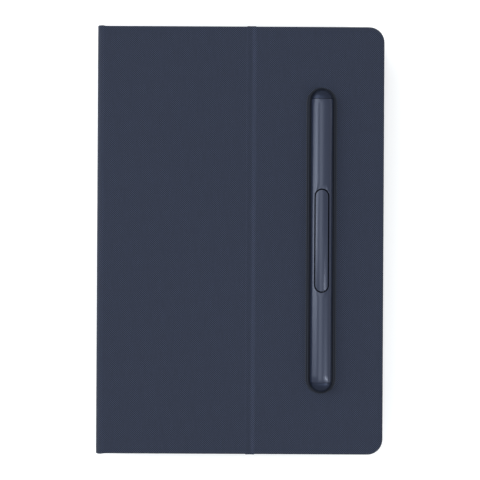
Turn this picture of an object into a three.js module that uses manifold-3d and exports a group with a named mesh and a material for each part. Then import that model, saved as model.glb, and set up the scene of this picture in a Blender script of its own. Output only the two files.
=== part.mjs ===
// Keyboard case for an eight-inch tablet, closed and lying flat, with its stylus in the garage.
//
// Millimetres. +X runs from the spine to the free edge, +Y along the spine, +Z up.
// The origin is under the middle of the closed case, on the surface it lies on.

import * as THREE from 'three';
import { mergeVertices } from 'three/addons/utils/BufferGeometryUtils.js';
import Module from 'manifold-3d';

const wasm = await Module();
wasm.setup();

// ---------------------------------------------------------------- driving dimensions

// Whole case, closed
const CASE_WIDTH = 140.6; // spine to free edge
const SPINE_LENGTH = 210;
const COVER_LENGTH = 209.6; // the flat panels stop just short of the spine's ends
const COVER_CORNER = 7.6; // corners at the free edge; those at the spine are square

// Layers of each flat panel: woven cover, greyboard, soft lining
const FABRIC = 0.7;
const BOARD = 1.7;
const LINING = 0.6;
const PANEL = FABRIC + BOARD + LINING;
const SPINE_BOARD = 1.5; // the spine's own board is a little thinner
const WRAP_GAP = 0.3; // between the turned edge of the cover and the board inside it
const LINING_MARGIN = 1.6;

// Keyboard, standing on the base board
const KEYBOARD_START = -57.5;
const KEYBOARD_END = 63.5;
const KEYBOARD_HALF_LENGTH = 100;
const KEYBOARD_CORNER = 5;
const SHELL_FLOOR = 0.8;
const SHELL_WALL = 1.6;
const KEYBOARD_ROOM = 3.8; // inside height between shell floor and deck
const DECK = 1.0;

// Keys: rows run along Y, the first one nearest the spine
const KEY_UNIT = 13.24;
const KEYS_WIDE = 14.5; // every row is this many units long
const FIRST_ROW_START = -52.5;
const FUNCTION_ROW_DEPTH = 10;
const ROW_DEPTH = 15;
const KEY_RISE = 1.2; // caps stand this far above the deck, and travel the same distance
const CAP_INSET = 1.1; // from the edge of a key's cell to its cap
const CAP_TAPER = 0.5; // the top face is this much smaller all round
const WINDOW_INSET = 0.7; // from the edge of the cell to the window in the deck
const FLANGE_INSET = 0.25; // from the edge of the cell to the flange under the deck
const FLANGE = 0.6;
const FLANGE_DROP = 0.4; // from the underside of the deck to the flange

// Tablet shell, fixed under the holder panel
const CLOSED_GAP = 0.6; // between key tops and the shell's lip
const LIP = 1.0;
const LIP_REACH = 2.0;
const TABLET_ROOM = 8.0;
const TRAY_BACK = 1.2;
const TRAY_WALL = 2.0;
const TRAY_START = -62.8;
const TRAY_END = 65.2;
const TRAY_HALF_LENGTH = 103;
const TRAY_CORNER = 9;

// Fold in the front cover
const CREASE_X = 5.2;
const CREASE_WIDTH = 4.4; // strip of bare cover between the two boards

// Stylus and its garage in the flap
const STYLUS_X = 39.7;
const STYLUS_LENGTH = 147.5;
const STYLUS_WIDTH = 10.5;
const STYLUS_HEIGHT = 7.6;
const STYLUS_WALL = 1.2;
const STYLUS_CAP = 3.7; // length of each domed end
const STYLUS_SEAM = 0.15; // open joint between barrel and cap
const BUTTON_LENGTH = 49.4;
const BUTTON_WIDTH = 6.0;
const BUTTON_GROOVE = 0.45;
const BUTTON_DEPTH = 1.8;
const GARAGE_FLOOR = 0.5;
const GARAGE_STEEL = 0.3;
const GARAGE_INSIDE_WIDTH = 11.4;
const GARAGE_INSIDE_LENGTH = 148.3;
const GARAGE_WIDTH = 14.0;
const GARAGE_LENGTH = 149.2;
const RIM_WIDTH = 16.2;
const RIM_LENGTH = 150.5;
const RIM_RISE = 0.4; // the rim stands this far above the cover
const FIT_GAP = 0.3;

const OVERSHOOT = 1; // cutting tools run this far past the faces they cut

// ---------------------------------------------------------------- levels and places

const LEFT = -CASE_WIDTH / 2;
const RIGHT = CASE_WIDTH / 2;
const HINGE_X = LEFT + PANEL; // both spine hinges turn about this line in X
const LOWER_HINGE_Z = PANEL;

const BOARD_TOP = FABRIC + BOARD;
const FLOOR_TOP = BOARD_TOP + SHELL_FLOOR;
const DECK_BOTTOM = FLOOR_TOP + KEYBOARD_ROOM;
const DECK_TOP = DECK_BOTTOM + DECK;
const KEY_TOP = DECK_TOP + KEY_RISE;
const FLANGE_TOP = DECK_BOTTOM - FLANGE_DROP;
const FLANGE_BOTTOM = FLANGE_TOP - FLANGE;

const LIP_BOTTOM = KEY_TOP + CLOSED_GAP;
const CAVITY_BOTTOM = LIP_BOTTOM + LIP;
const CAVITY_TOP = CAVITY_BOTTOM + TABLET_ROOM;
const COVER_BOTTOM = CAVITY_TOP + TRAY_BACK;
const UPPER_HINGE_Z = COVER_BOTTOM;
const COVER_BOARD_BOTTOM = COVER_BOTTOM + LINING;
const COVER_BOARD_TOP = COVER_BOARD_BOTTOM + BOARD;
const COVER_TOP = COVER_BOTTOM + PANEL;

const HOLDER_END = CREASE_X - CREASE_WIDTH / 2;
const FLAP_START = CREASE_X + CREASE_WIDTH / 2;
const GARAGE_BOTTOM = COVER_BOARD_BOTTOM + GARAGE_STEEL;
const STYLUS_BOTTOM = GARAGE_BOTTOM + GARAGE_FLOOR;
const STYLUS_TOP = STYLUS_BOTTOM + STYLUS_HEIGHT;
const STYLUS_MIDDLE = STYLUS_BOTTOM + STYLUS_HEIGHT / 2;

// ---------------------------------------------------------------- materials

function finish(color, roughness, metalness = 0) {
  return new THREE.MeshStandardMaterial({ color, roughness, metalness });
}

const wovenCover = () => finish(0x363c4d, 0.9);
const softLining = () => finish(0x2c303a, 0.95);
const greyBoard = () => finish(0x8d8a84, 0.9);
const deckPlastic = () => finish(0x23262c, 0.6);
const keyPlastic = () => finish(0x17191d, 0.55);
const trayPlastic = () => finish(0x1f232c, 0.55);
const domeRubber = () => finish(0xb8b8b4, 0.8);
const filmPlastic = () => finish(0x9fb3a8, 0.4);
const boardResin = () => finish(0x1f5a3a, 0.5);
const cellWrap = () => finish(0x9a9ea3, 0.4, 0.6);
const platedSteel = () => finish(0xb9bcc0, 0.3, 0.9);
const magnetNickel = () => finish(0xa8aaae, 0.25, 0.9);
const clearPipe = () => finish(0xe6eef2, 0.2);
const stylusLacquer = () => finish(0x4c5464, 0.35, 0.4);
const stylusGloss = () => finish(0x232c44, 0.25);
const garagePlastic = () => finish(0x2b3244, 0.5);

// ---------------------------------------------------------------- geometry helpers

/** A rectangle in plan whose corners at the +X end are rounded by endRadius, the others by startRadius. */
function panelOutline(x0, x1, halfLength, endRadius, startRadius = 0) {
  const outline = new THREE.Shape();
  const corner = (x, y, radius, from) => {
    if (radius > 0) outline.absarc(x, y, radius, from, from + Math.PI / 2, false);
    else outline.lineTo(x, y);
  };
  outline.moveTo(x0 + startRadius, -halfLength);
  corner(x1 - endRadius, -halfLength + endRadius, endRadius, -Math.PI / 2);
  corner(x1 - endRadius, halfLength - endRadius, endRadius, 0);
  corner(x0 + startRadius, halfLength - startRadius, startRadius, Math.PI / 2);
  corner(x0 + startRadius, -halfLength + startRadius, startRadius, Math.PI);
  return outline;
}

/** A long oval with round ends, lying along Y. */
function capsuleOutline(x, width, length, shapeClass = THREE.Shape) {
  const radius = width / 2;
  const straight = length / 2 - radius;
  const outline = new shapeClass();
  outline.absarc(x, straight, radius, 0, Math.PI, false);
  outline.absarc(x, -straight, radius, Math.PI, 2 * Math.PI, false);
  outline.closePath();
  return outline;
}

/** An outline in plan, standing from one level to another. */
function plate(outline, bottom, top, curveSegments = 8) {
  const depth = top - bottom;
  const geometry = new THREE.ExtrudeGeometry(outline, { depth, bevelEnabled: false, curveSegments });
  return geometry.translate(0, 0, bottom);
}

function block(x0, x1, y0, y1, z0, z1) {
  const geometry = new THREE.BoxGeometry(x1 - x0, y1 - y0, z1 - z0);
  return geometry.translate((x0 + x1) / 2, (y0 + y1) / 2, (z0 + z1) / 2);
}

/** A block whose top face is smaller than its foot by taper on every side. */
function taperedBlock(x0, x1, y0, y1, z0, z1, taper) {
  const geometry = block(x0, x1, y0, y1, z0, z1);
  const position = geometry.attributes.position;
  const middleX = (x0 + x1) / 2;
  const middleY = (y0 + y1) / 2;
  for (let i = 0; i < position.count; i += 1) {
    if (position.getZ(i) < z1 - taper) continue;
    position.setX(i, position.getX(i) - Math.sign(position.getX(i) - middleX) * taper);
    position.setY(i, position.getY(i) - Math.sign(position.getY(i) - middleY) * taper);
  }
  return geometry;
}

/** A section drawn in X and Z, carried along Y from y0 to y1. */
function bar(section, y0, y1, curveSegments = 8) {
  const depth = y1 - y0;
  const geometry = new THREE.ExtrudeGeometry(section, { depth, bevelEnabled: false, curveSegments });
  // The section's own Y becomes Z, and its depth runs towards -Y
  return geometry.rotateX(Math.PI / 2).translate(0, y1, 0);
}

/** An oval in X and Z, with flattened top and foot: a rounded rectangle with long corner radii. */
function ovalSection(x, z, width, height, shapeClass = THREE.Shape) {
  const radius = height / 2;
  const straight = width / 2 - radius;
  const outline = new shapeClass();
  outline.absarc(x + straight, z, radius, -Math.PI / 2, Math.PI / 2, false);
  outline.absarc(x - straight, z, radius, Math.PI / 2, (3 * Math.PI) / 2, false);
  outline.closePath();
  return outline;
}

// ---------------------------------------------------------------- cutting and joining

function toSolid(geometry) {
  const bare = geometry.clone();
  bare.deleteAttribute('normal');
  bare.deleteAttribute('uv');
  const merged = mergeVertices(bare, 1e-4);
  const mesh = new wasm.Mesh({
    numProp: 3,
    vertProperties: new Float32Array(merged.attributes.position.array),
    triVerts: new Uint32Array(merged.index.array),
  });
  return new wasm.Manifold(mesh);
}

function toGeometry(solid) {
  const mesh = solid.getMesh();
  const geometry = new THREE.BufferGeometry();
  geometry.setAttribute('position', new THREE.BufferAttribute(mesh.vertProperties, 3));
  geometry.setIndex(new THREE.BufferAttribute(mesh.triVerts, 1));
  geometry.computeVertexNormals();
  return geometry;
}

function cut(geometry, ...tools) {
  return toGeometry(tools.reduce((solid, tool) => solid.subtract(toSolid(tool)), toSolid(geometry)));
}

/** What two solids share. */
function common(geometry, other) {
  return toGeometry(toSolid(geometry).intersect(toSolid(other)));
}

function join(...geometries) {
  return toGeometry(geometries.map(toSolid).reduce((solid, next) => solid.add(next)));
}

const tabletCase = new THREE.Group();

function addPart(name, geometry, material) {
  const mesh = new THREE.Mesh(geometry, material);
  mesh.name = name;
  tabletCase.add(mesh);
}

// ---------------------------------------------------------------- flat panels

/**
 * A woven cover with its outer face at one level, turned over the panel's edges.
 * facing is 1 where the outer face is on top and -1 where it is underneath.
 */
function wrappedCover(outlineAt, outerFace, facing) {
  const innerFace = outerFace - facing * PANEL;
  const skin = plate(outlineAt(0), Math.min(outerFace, innerFace), Math.max(outerFace, innerFace));
  const boardSide = outerFace - facing * FABRIC;
  const beyond = innerFace - facing * OVERSHOOT;
  const room = plate(outlineAt(FABRIC), Math.min(boardSide, beyond), Math.max(boardSide, beyond));
  return cut(skin, room);
}

const baseOutline = (inset) =>
  panelOutline(HINGE_X + inset, RIGHT - inset, COVER_LENGTH / 2 - inset, COVER_CORNER - inset);

const holderOutline = (inset) =>
  panelOutline(HINGE_X + inset, HOLDER_END - inset, COVER_LENGTH / 2 - inset, 0);

const flapOutline = (inset) =>
  panelOutline(FLAP_START + inset, RIGHT - inset, COVER_LENGTH / 2 - inset, COVER_CORNER - inset);

const BOARD_INSET = FABRIC + WRAP_GAP;

function addBasePanel() {
  addPart('base_cover_fabric', wrappedCover(baseOutline, 0, -1), wovenCover());
  addPart('base_board', plate(baseOutline(BOARD_INSET), FABRIC, BOARD_TOP), greyBoard());
  const lining = baseOutline(LINING_MARGIN);
  const window = FIT_GAP;
  lining.holes.push(panelOutline(
    KEYBOARD_START - window,
    KEYBOARD_END + window,
    KEYBOARD_HALF_LENGTH + window,
    KEYBOARD_CORNER,
    KEYBOARD_CORNER,
  ));
  addPart('base_lining', plate(lining, BOARD_TOP, PANEL), softLining());
}

function addSpine() {
  const half = SPINE_LENGTH / 2;
  const boardHalf = half - BOARD_INSET;
  const fabricEnd = LEFT + FABRIC;
  const boardEnd = fabricEnd + SPINE_BOARD;
  const liningEnd = boardEnd + LINING;
  const cover = block(LEFT, liningEnd, -half, half, LOWER_HINGE_Z, UPPER_HINGE_Z);
  const below = LOWER_HINGE_Z - OVERSHOOT;
  const above = UPPER_HINGE_Z + OVERSHOOT;
  const room = block(fabricEnd, liningEnd + OVERSHOOT, FABRIC - half, half - FABRIC, below, above);
  addPart('spine_fabric', cut(cover, room), wovenCover());
  const bottom = LOWER_HINGE_Z + WRAP_GAP;
  const top = UPPER_HINGE_Z - WRAP_GAP;
  addPart('spine_board', block(fabricEnd, boardEnd, -boardHalf, boardHalf, bottom, top), greyBoard());
  addPart('spine_lining', block(boardEnd, liningEnd, -boardHalf, boardHalf, bottom, top), softLining());
}

/** The bend of the cover at a spine hinge: a quarter of a tube round the hinge line. */
function hingeStrip(hingeZ, from) {
  const section = new THREE.Shape();
  section.absarc(HINGE_X, hingeZ, PANEL, from, from + Math.PI / 2, false);
  section.absarc(HINGE_X, hingeZ, PANEL - FABRIC, from + Math.PI / 2, from, true);
  section.closePath();
  return bar(section, -SPINE_LENGTH / 2, SPINE_LENGTH / 2);
}

function addHingeStrips() {
  addPart('lower_hinge_strip', hingeStrip(LOWER_HINGE_Z, Math.PI), wovenCover());
  addPart('upper_hinge_strip', hingeStrip(UPPER_HINGE_Z, Math.PI / 2), wovenCover());
  const half = COVER_LENGTH / 2;
  const bottom = COVER_TOP - FABRIC;
  const strip = block(HOLDER_END, FLAP_START, -half, half, bottom, COVER_TOP);
  addPart('flap_crease_strip', strip, wovenCover());
}

// ---------------------------------------------------------------- keyboard

/** Every row of keys, from the spine outwards: groups of key widths in units, one node for each group. */
const KEY_ROWS = [
  [['escape_key', [1]], ['function_keys', Array(12).fill(12.5 / 12)], ['delete_key', [1]]],
  [['number_keys', Array(13).fill(1)], ['backspace_key', [1.5]]],
  [['tab_key', [1.5]], ['upper_letter_keys', Array(13).fill(1)]],
  [['caps_lock_key', [1.75]], ['home_letter_keys', Array(11).fill(1)], ['enter_key', [1.75]]],
  [['left_shift_key', [2.25]], ['lower_letter_keys', Array(10).fill(1)], ['right_shift_key', [2.25]]],
  [['left_modifier_keys', [1.25, 1, 1, 1]], ['space_bar', [5.25]], ['right_modifier_keys', Array(5).fill(1)]],
];

/** Lists every key group with the cells of its keys. */
function keyGroups() {
  const groups = [];
  let x = FIRST_ROW_START;
  KEY_ROWS.forEach((row, rowNumber) => {
    const depth = rowNumber === 0 ? FUNCTION_ROW_DEPTH : ROW_DEPTH;
    let y = (-KEYS_WIDE * KEY_UNIT) / 2;
    for (const [name, widths] of row) {
      const cells = widths.map((units) => {
        const cell = { x0: x, x1: x + depth, y0: y, y1: y + units * KEY_UNIT };
        y = cell.y1;
        return cell;
      });
      groups.push({ name, cells });
    }
    x += depth;
  });
  return groups;
}

/** Caps of one group on the flange that keeps them under the deck. */
function keySolid(cells) {
  const first = cells[0];
  const last = cells[cells.length - 1];
  const flange = block(
    first.x0 + FLANGE_INSET,
    first.x1 - FLANGE_INSET,
    first.y0 + FLANGE_INSET,
    last.y1 - FLANGE_INSET,
    FLANGE_BOTTOM,
    FLANGE_TOP,
  );
  const foot = (FLANGE_BOTTOM + FLANGE_TOP) / 2;
  const caps = cells.map((cell) => taperedBlock(
    cell.x0 + CAP_INSET,
    cell.x1 - CAP_INSET,
    cell.y0 + CAP_INSET,
    cell.y1 - CAP_INSET,
    foot,
    KEY_TOP,
    CAP_TAPER,
  ));
  return join(flange, ...caps);
}

const LAST_ROW_END = FIRST_ROW_START + FUNCTION_ROW_DEPTH + 5 * ROW_DEPTH;
const KEYS_HALF_LENGTH = (KEYS_WIDE * KEY_UNIT) / 2;

// Charging socket, in the wall at the -Y end
const SOCKET_X = -38;
const SOCKET_WIDTH = 9.0;
const SOCKET_HEIGHT = 3.2;
const SOCKET_WALL = 0.4;
const SOCKET_BACK = 0.6;
const SOCKET_LIFT = 0.2; // from the shell floor
const SOCKET_SETBACK = 0.2; // from the outside of the shell wall
const SOCKET_SLACK = 0.1; // above and below it in its slot
const SOCKET_END_GAP = 0.4; // the rows of keys start this far behind it
const SOCKET_BOTTOM = FLOOR_TOP + SOCKET_LIFT;
const SOCKET_TOP = SOCKET_BOTTOM + SOCKET_HEIGHT;

// Power switch, beside it
const SWITCH_X = -20;
const SWITCH_TRAVEL = 3;
const SWITCH_WIDTH = 4;
const SWITCH_HEIGHT = 1.8;
const SWITCH_PROUD = 0.5; // the knob stands this far out of the wall
const SWITCH_JOINT = 0.1; // the knob reaches this far into its guide plate
const SWITCH_BACK = 1.2; // depth of the guide plate inside the shell wall
const GUIDE_SIDE = 1; // the guide plate is this much wider than the knob on each side
const GUIDE_LIP = 0.6; // and this much taller
const SWITCH_MIDDLE = (FLOOR_TOP + DECK_BOTTOM) / 2;

// Status light in the deck
const LIGHT_X = 46;
const LIGHT_Y = 88;
const LIGHT_WIDTH = 2.4;
const LIGHT_GAP = 0.05;
const LIGHT_BOTTOM = FLOOR_TOP + 1.2;

// Switching layers
const FILM_TOP = FLOOR_TOP + 0.3;
const DOME_SHEET_TOP = FILM_TOP + 0.3;
const DOME_WIDTH = 4.4;
const DOME_TAPER = 0.6;
const DOME_ROOT = FILM_TOP + 0.1; // the domes' blocks start inside the sheet
const DOME_TOP = FLANGE_BOTTOM - KEY_RISE - 0.2; // a pressed key stops just short of it

// Under the strip in front of the keys
const STRIP_START = LAST_ROW_END + 3;
const STRIP_END = KEYBOARD_END - SHELL_WALL - 2;
const CELL_START = -60;
const CELL_END = 30;
const CELL_HEIGHT = 3.0;
const CIRCUIT_START = 36;
const CIRCUIT_END = 84;
const CIRCUIT_THICKNESS = 0.8;
const CLOSURE_MAGNET_WIDTH = 3;
const CLOSURE_MAGNET_LENGTH = 10;
const CLOSURE_MAGNET_HEIGHT = 3;
const CLOSURE_MAGNET_MARGIN = 8; // from the keyboard's end to the magnet's middle

function addKeyboard() {
  const halfLength = KEYBOARD_HALF_LENGTH;
  const wallOutline = (inset) => panelOutline(
    KEYBOARD_START + inset,
    KEYBOARD_END - inset,
    halfLength - inset,
    KEYBOARD_CORNER - inset,
    KEYBOARD_CORNER - inset,
  );
  const wallMiddle = -halfLength + SHELL_WALL / 2;
  const socketSlot = block(
    SOCKET_X - SOCKET_WIDTH / 2 - FIT_GAP / 2,
    SOCKET_X + SOCKET_WIDTH / 2 + FIT_GAP / 2,
    wallMiddle - SHELL_WALL,
    wallMiddle + SHELL_WALL,
    SOCKET_BOTTOM - SOCKET_SLACK,
    SOCKET_TOP + SOCKET_SLACK,
  );
  const switchSlot = block(
    SWITCH_X - SWITCH_WIDTH / 2 - FIT_GAP,
    SWITCH_X + SWITCH_WIDTH / 2 + SWITCH_TRAVEL + FIT_GAP,
    wallMiddle - SHELL_WALL,
    wallMiddle + SHELL_WALL,
    SWITCH_MIDDLE - SWITCH_HEIGHT / 2 - FIT_GAP,
    SWITCH_MIDDLE + SWITCH_HEIGHT / 2 + FIT_GAP,
  );
  const shell = cut(
    plate(wallOutline(0), BOARD_TOP, DECK_BOTTOM),
    plate(wallOutline(SHELL_WALL), FLOOR_TOP, DECK_BOTTOM + OVERSHOOT),
    socketSlot,
    switchSlot,
  );
  addPart('keyboard_lower_shell', shell, deckPlastic());

  const groups = keyGroups();
  const windows = groups.flatMap(({ cells }) => cells.map((cell) => block(
    cell.x0 + WINDOW_INSET,
    cell.x1 - WINDOW_INSET,
    cell.y0 + WINDOW_INSET,
    cell.y1 - WINDOW_INSET,
    DECK_BOTTOM - OVERSHOOT,
    DECK_TOP + OVERSHOOT,
  )));
  const lightHalf = LIGHT_WIDTH / 2 + LIGHT_GAP;
  windows.push(block(
    LIGHT_X - lightHalf,
    LIGHT_X + lightHalf,
    LIGHT_Y - lightHalf,
    LIGHT_Y + lightHalf,
    DECK_BOTTOM - OVERSHOOT,
    DECK_TOP + OVERSHOOT,
  ));
  addPart('keyboard_deck', cut(plate(wallOutline(0), DECK_BOTTOM, DECK_TOP), ...windows), deckPlastic());

  for (const { name, cells } of groups) addPart(name, keySolid(cells), keyPlastic());

  addKeySwitching(groups);
  addStripParts();
  addChargingSocket();
  addPowerSwitch();

  const pipeHalf = LIGHT_WIDTH / 2;
  const pipe = block(
    LIGHT_X - pipeHalf,
    LIGHT_X + pipeHalf,
    LIGHT_Y - pipeHalf,
    LIGHT_Y + pipeHalf,
    LIGHT_BOTTOM,
    DECK_TOP,
  );
  addPart('status_light_pipe', pipe, clearPipe());
}

/** The contact film on the shell floor, and the sheet of rubber domes on it, one dome for each key. */
function addKeySwitching(groups) {
  const area = [FIRST_ROW_START, LAST_ROW_END, -KEYS_HALF_LENGTH, KEYS_HALF_LENGTH];
  addPart('contact_film', block(...area, FLOOR_TOP, FILM_TOP), filmPlastic());
  const half = DOME_WIDTH / 2;
  const domes = groups.flatMap(({ cells }) => cells.map((cell) => {
    const x = (cell.x0 + cell.x1) / 2;
    const y = (cell.y0 + cell.y1) / 2;
    return taperedBlock(x - half, x + half, y - half, y + half, DOME_ROOT, DOME_TOP, DOME_TAPER);
  }));
  addPart('rubber_dome_sheet', join(block(...area, FILM_TOP, DOME_SHEET_TOP), ...domes), domeRubber());
}

/** Battery, circuit board and closure magnets, on the shell floor in front of the keys. */
function addStripParts() {
  const battery = block(
    STRIP_START, STRIP_END, CELL_START, CELL_END, FLOOR_TOP, FLOOR_TOP + CELL_HEIGHT);
  addPart('keyboard_battery', battery, cellWrap());
  const board = block(
    STRIP_START, STRIP_END, CIRCUIT_START, CIRCUIT_END, FLOOR_TOP, FLOOR_TOP + CIRCUIT_THICKNESS);
  addPart('keyboard_circuit_board', board, boardResin());
  for (const [name, side] of [['left', -1], ['right', 1]]) {
    const y = side * (KEYBOARD_HALF_LENGTH - CLOSURE_MAGNET_MARGIN);
    const magnet = block(
      STRIP_END - CLOSURE_MAGNET_WIDTH,
      STRIP_END,
      y - CLOSURE_MAGNET_LENGTH / 2,
      y + CLOSURE_MAGNET_LENGTH / 2,
      FLOOR_TOP,
      FLOOR_TOP + CLOSURE_MAGNET_HEIGHT,
    );
    addPart(`closure_magnet_${name}`, magnet, magnetNickel());
  }
}

/** A can open towards -Y, as deep as the space between the shell wall and the rows of keys. */
function addChargingSocket() {
  const front = -KEYBOARD_HALF_LENGTH + SOCKET_SETBACK;
  const back = front + KEYBOARD_HALF_LENGTH - KEYS_HALF_LENGTH - SOCKET_END_GAP;
  const can = block(
    SOCKET_X - SOCKET_WIDTH / 2,
    SOCKET_X + SOCKET_WIDTH / 2,
    front,
    back,
    SOCKET_BOTTOM,
    SOCKET_TOP,
  );
  const mouth = block(
    SOCKET_X - SOCKET_WIDTH / 2 + SOCKET_WALL,
    SOCKET_X + SOCKET_WIDTH / 2 - SOCKET_WALL,
    front - OVERSHOOT,
    back - SOCKET_BACK,
    SOCKET_BOTTOM + SOCKET_WALL,
    SOCKET_TOP - SOCKET_WALL,
  );
  addPart('charging_socket', cut(can, mouth), platedSteel());
}

/** A knob through the slot in the shell wall, on a guide plate behind it. */
function addPowerSwitch() {
  const wallInside = -KEYBOARD_HALF_LENGTH + SHELL_WALL;
  const guideFront = wallInside + FIT_GAP;
  const half = SWITCH_WIDTH / 2;
  const halfHeight = SWITCH_HEIGHT / 2;
  const knob = block(
    SWITCH_X - half,
    SWITCH_X + half,
    -KEYBOARD_HALF_LENGTH - SWITCH_PROUD,
    guideFront + SWITCH_JOINT,
    SWITCH_MIDDLE - halfHeight,
    SWITCH_MIDDLE + halfHeight,
  );
  const guide = block(
    SWITCH_X - half - GUIDE_SIDE,
    SWITCH_X + half + GUIDE_SIDE,
    guideFront,
    guideFront + SWITCH_BACK,
    SWITCH_MIDDLE - halfHeight - GUIDE_LIP,
    SWITCH_MIDDLE + halfHeight + GUIDE_LIP,
  );
  addPart('power_switch', join(knob, guide), keyPlastic());
}

// ---------------------------------------------------------------- tablet holder

const PORT_X = 1.2;
const PORT_WIDTH = 15;
const PORT_MARGIN = 1.2; // from the cut-outs to the cavity's floor and ceiling
const PORT_BOTTOM = CAVITY_BOTTOM + PORT_MARGIN;
const PORT_TOP = CAVITY_TOP - PORT_MARGIN;
const BUTTONS_START = 34;
const BUTTONS_END = 78;
const STEEL_START = TRAY_END - 8;
const STEEL_END = TRAY_END - 4;
const STEEL_HALF_LENGTH = 70;
const STEEL_BOTTOM = COVER_BOTTOM - 0.5;

function addHolder() {
  addPart('holder_fabric', wrappedCover(holderOutline, COVER_TOP, 1), wovenCover());
  const board = plate(holderOutline(BOARD_INSET), COVER_BOARD_BOTTOM, COVER_BOARD_TOP);
  addPart('holder_board', board, greyBoard());
  const lining = plate(holderOutline(BOARD_INSET), COVER_BOTTOM, COVER_BOARD_BOTTOM);
  addPart('holder_lining', lining, softLining());

  const trayOutline = (inset) => panelOutline(
    TRAY_START + inset,
    TRAY_END - inset,
    TRAY_HALF_LENGTH - inset,
    TRAY_CORNER - inset,
    TRAY_CORNER - inset,
  );
  const groove = block(
    STEEL_START - FIT_GAP,
    STEEL_END + FIT_GAP,
    -STEEL_HALF_LENGTH - FIT_GAP,
    STEEL_HALF_LENGTH + FIT_GAP,
    STEEL_BOTTOM,
    COVER_BOTTOM + OVERSHOOT,
  );
  const port = block(
    PORT_X - PORT_WIDTH / 2,
    PORT_X + PORT_WIDTH / 2,
    -TRAY_HALF_LENGTH - OVERSHOOT,
    -TRAY_HALF_LENGTH + TRAY_WALL + OVERSHOOT,
    PORT_BOTTOM,
    PORT_TOP,
  );
  const buttons = block(
    TRAY_END - TRAY_WALL - OVERSHOOT,
    TRAY_END + OVERSHOOT,
    BUTTONS_START,
    BUTTONS_END,
    PORT_BOTTOM,
    PORT_TOP,
  );
  const tray = cut(
    plate(trayOutline(0), LIP_BOTTOM, COVER_BOTTOM),
    plate(trayOutline(TRAY_WALL), CAVITY_BOTTOM, CAVITY_TOP),
    plate(trayOutline(TRAY_WALL + LIP_REACH), LIP_BOTTOM - OVERSHOOT, CAVITY_BOTTOM + OVERSHOOT),
    groove,
    port,
    buttons,
  );
  addPart('tablet_shell', tray, trayPlastic());
  const strip = block(
    STEEL_START,
    STEEL_END,
    -STEEL_HALF_LENGTH,
    STEEL_HALF_LENGTH,
    STEEL_BOTTOM,
    COVER_BOTTOM,
  );
  addPart('shell_steel_strip', strip, platedSteel());
}

// ---------------------------------------------------------------- flap with the stylus garage

const FLAP_MAGNET_START = RIGHT - 12;
const FLAP_MAGNET_END = RIGHT - 5;
const FLAP_MAGNET_HALF_LENGTH = 8;
const FLAP_MAGNET_Y = 60;
const RIM_OVERLAP = 0.5; // the rim covers this much of the tray wall at its sides
const RIM_END_OVERLAP = 0.2; // and this much at its ends
const GARAGE_STEEL_WIDTH = 8;
const GARAGE_STEEL_LENGTH = 120;

function addFlap() {
  const hole = capsuleOutline(
    STYLUS_X, GARAGE_WIDTH + 2 * FIT_GAP, GARAGE_LENGTH + 2 * FIT_GAP);
  const through = plate(hole, COVER_BOARD_BOTTOM - OVERSHOOT, COVER_TOP + OVERSHOOT);
  addPart('flap_fabric', cut(wrappedCover(flapOutline, COVER_TOP, 1), through), wovenCover());

  const pockets = [-1, 1].map((side) => block(
    FLAP_MAGNET_START - FIT_GAP,
    FLAP_MAGNET_END + FIT_GAP,
    side * FLAP_MAGNET_Y - FLAP_MAGNET_HALF_LENGTH - FIT_GAP,
    side * FLAP_MAGNET_Y + FLAP_MAGNET_HALF_LENGTH + FIT_GAP,
    COVER_BOARD_BOTTOM - OVERSHOOT,
    COVER_BOARD_TOP + OVERSHOOT,
  ));
  const solidBoard = plate(flapOutline(BOARD_INSET), COVER_BOARD_BOTTOM, COVER_BOARD_TOP);
  addPart('flap_board', cut(solidBoard, through, ...pockets), greyBoard());
  const lining = plate(flapOutline(BOARD_INSET), COVER_BOTTOM, COVER_BOARD_BOTTOM);
  addPart('flap_lining', lining, softLining());
  for (const [name, side] of [['lower', -1], ['upper', 1]]) {
    const magnet = block(
      FLAP_MAGNET_START,
      FLAP_MAGNET_END,
      side * FLAP_MAGNET_Y - FLAP_MAGNET_HALF_LENGTH,
      side * FLAP_MAGNET_Y + FLAP_MAGNET_HALF_LENGTH,
      COVER_BOARD_BOTTOM,
      COVER_BOARD_TOP - FIT_GAP,
    );
    addPart(`flap_magnet_${name}`, magnet, magnetNickel());
  }
  addGarage();
}

function addGarage() {
  const tray = cut(
    plate(capsuleOutline(STYLUS_X, GARAGE_WIDTH, GARAGE_LENGTH), GARAGE_BOTTOM, COVER_TOP),
    plate(
      capsuleOutline(STYLUS_X, GARAGE_INSIDE_WIDTH, GARAGE_INSIDE_LENGTH),
      STYLUS_BOTTOM,
      COVER_TOP + OVERSHOOT,
    ),
  );
  addPart('garage_tray', tray, garagePlastic());
  const rim = capsuleOutline(STYLUS_X, RIM_WIDTH, RIM_LENGTH);
  rim.holes.push(capsuleOutline(
    STYLUS_X,
    GARAGE_WIDTH - 2 * RIM_OVERLAP,
    GARAGE_LENGTH - 2 * RIM_END_OVERLAP,
    THREE.Path,
  ));
  addPart('garage_rim', plate(rim, COVER_TOP, COVER_TOP + RIM_RISE), garagePlastic());
  const steel = block(
    STYLUS_X - GARAGE_STEEL_WIDTH / 2,
    STYLUS_X + GARAGE_STEEL_WIDTH / 2,
    -GARAGE_STEEL_LENGTH / 2,
    GARAGE_STEEL_LENGTH / 2,
    COVER_BOARD_BOTTOM,
    GARAGE_BOTTOM,
  );
  addPart('garage_steel_strip', steel, platedSteel());
}

// ---------------------------------------------------------------- stylus

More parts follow.
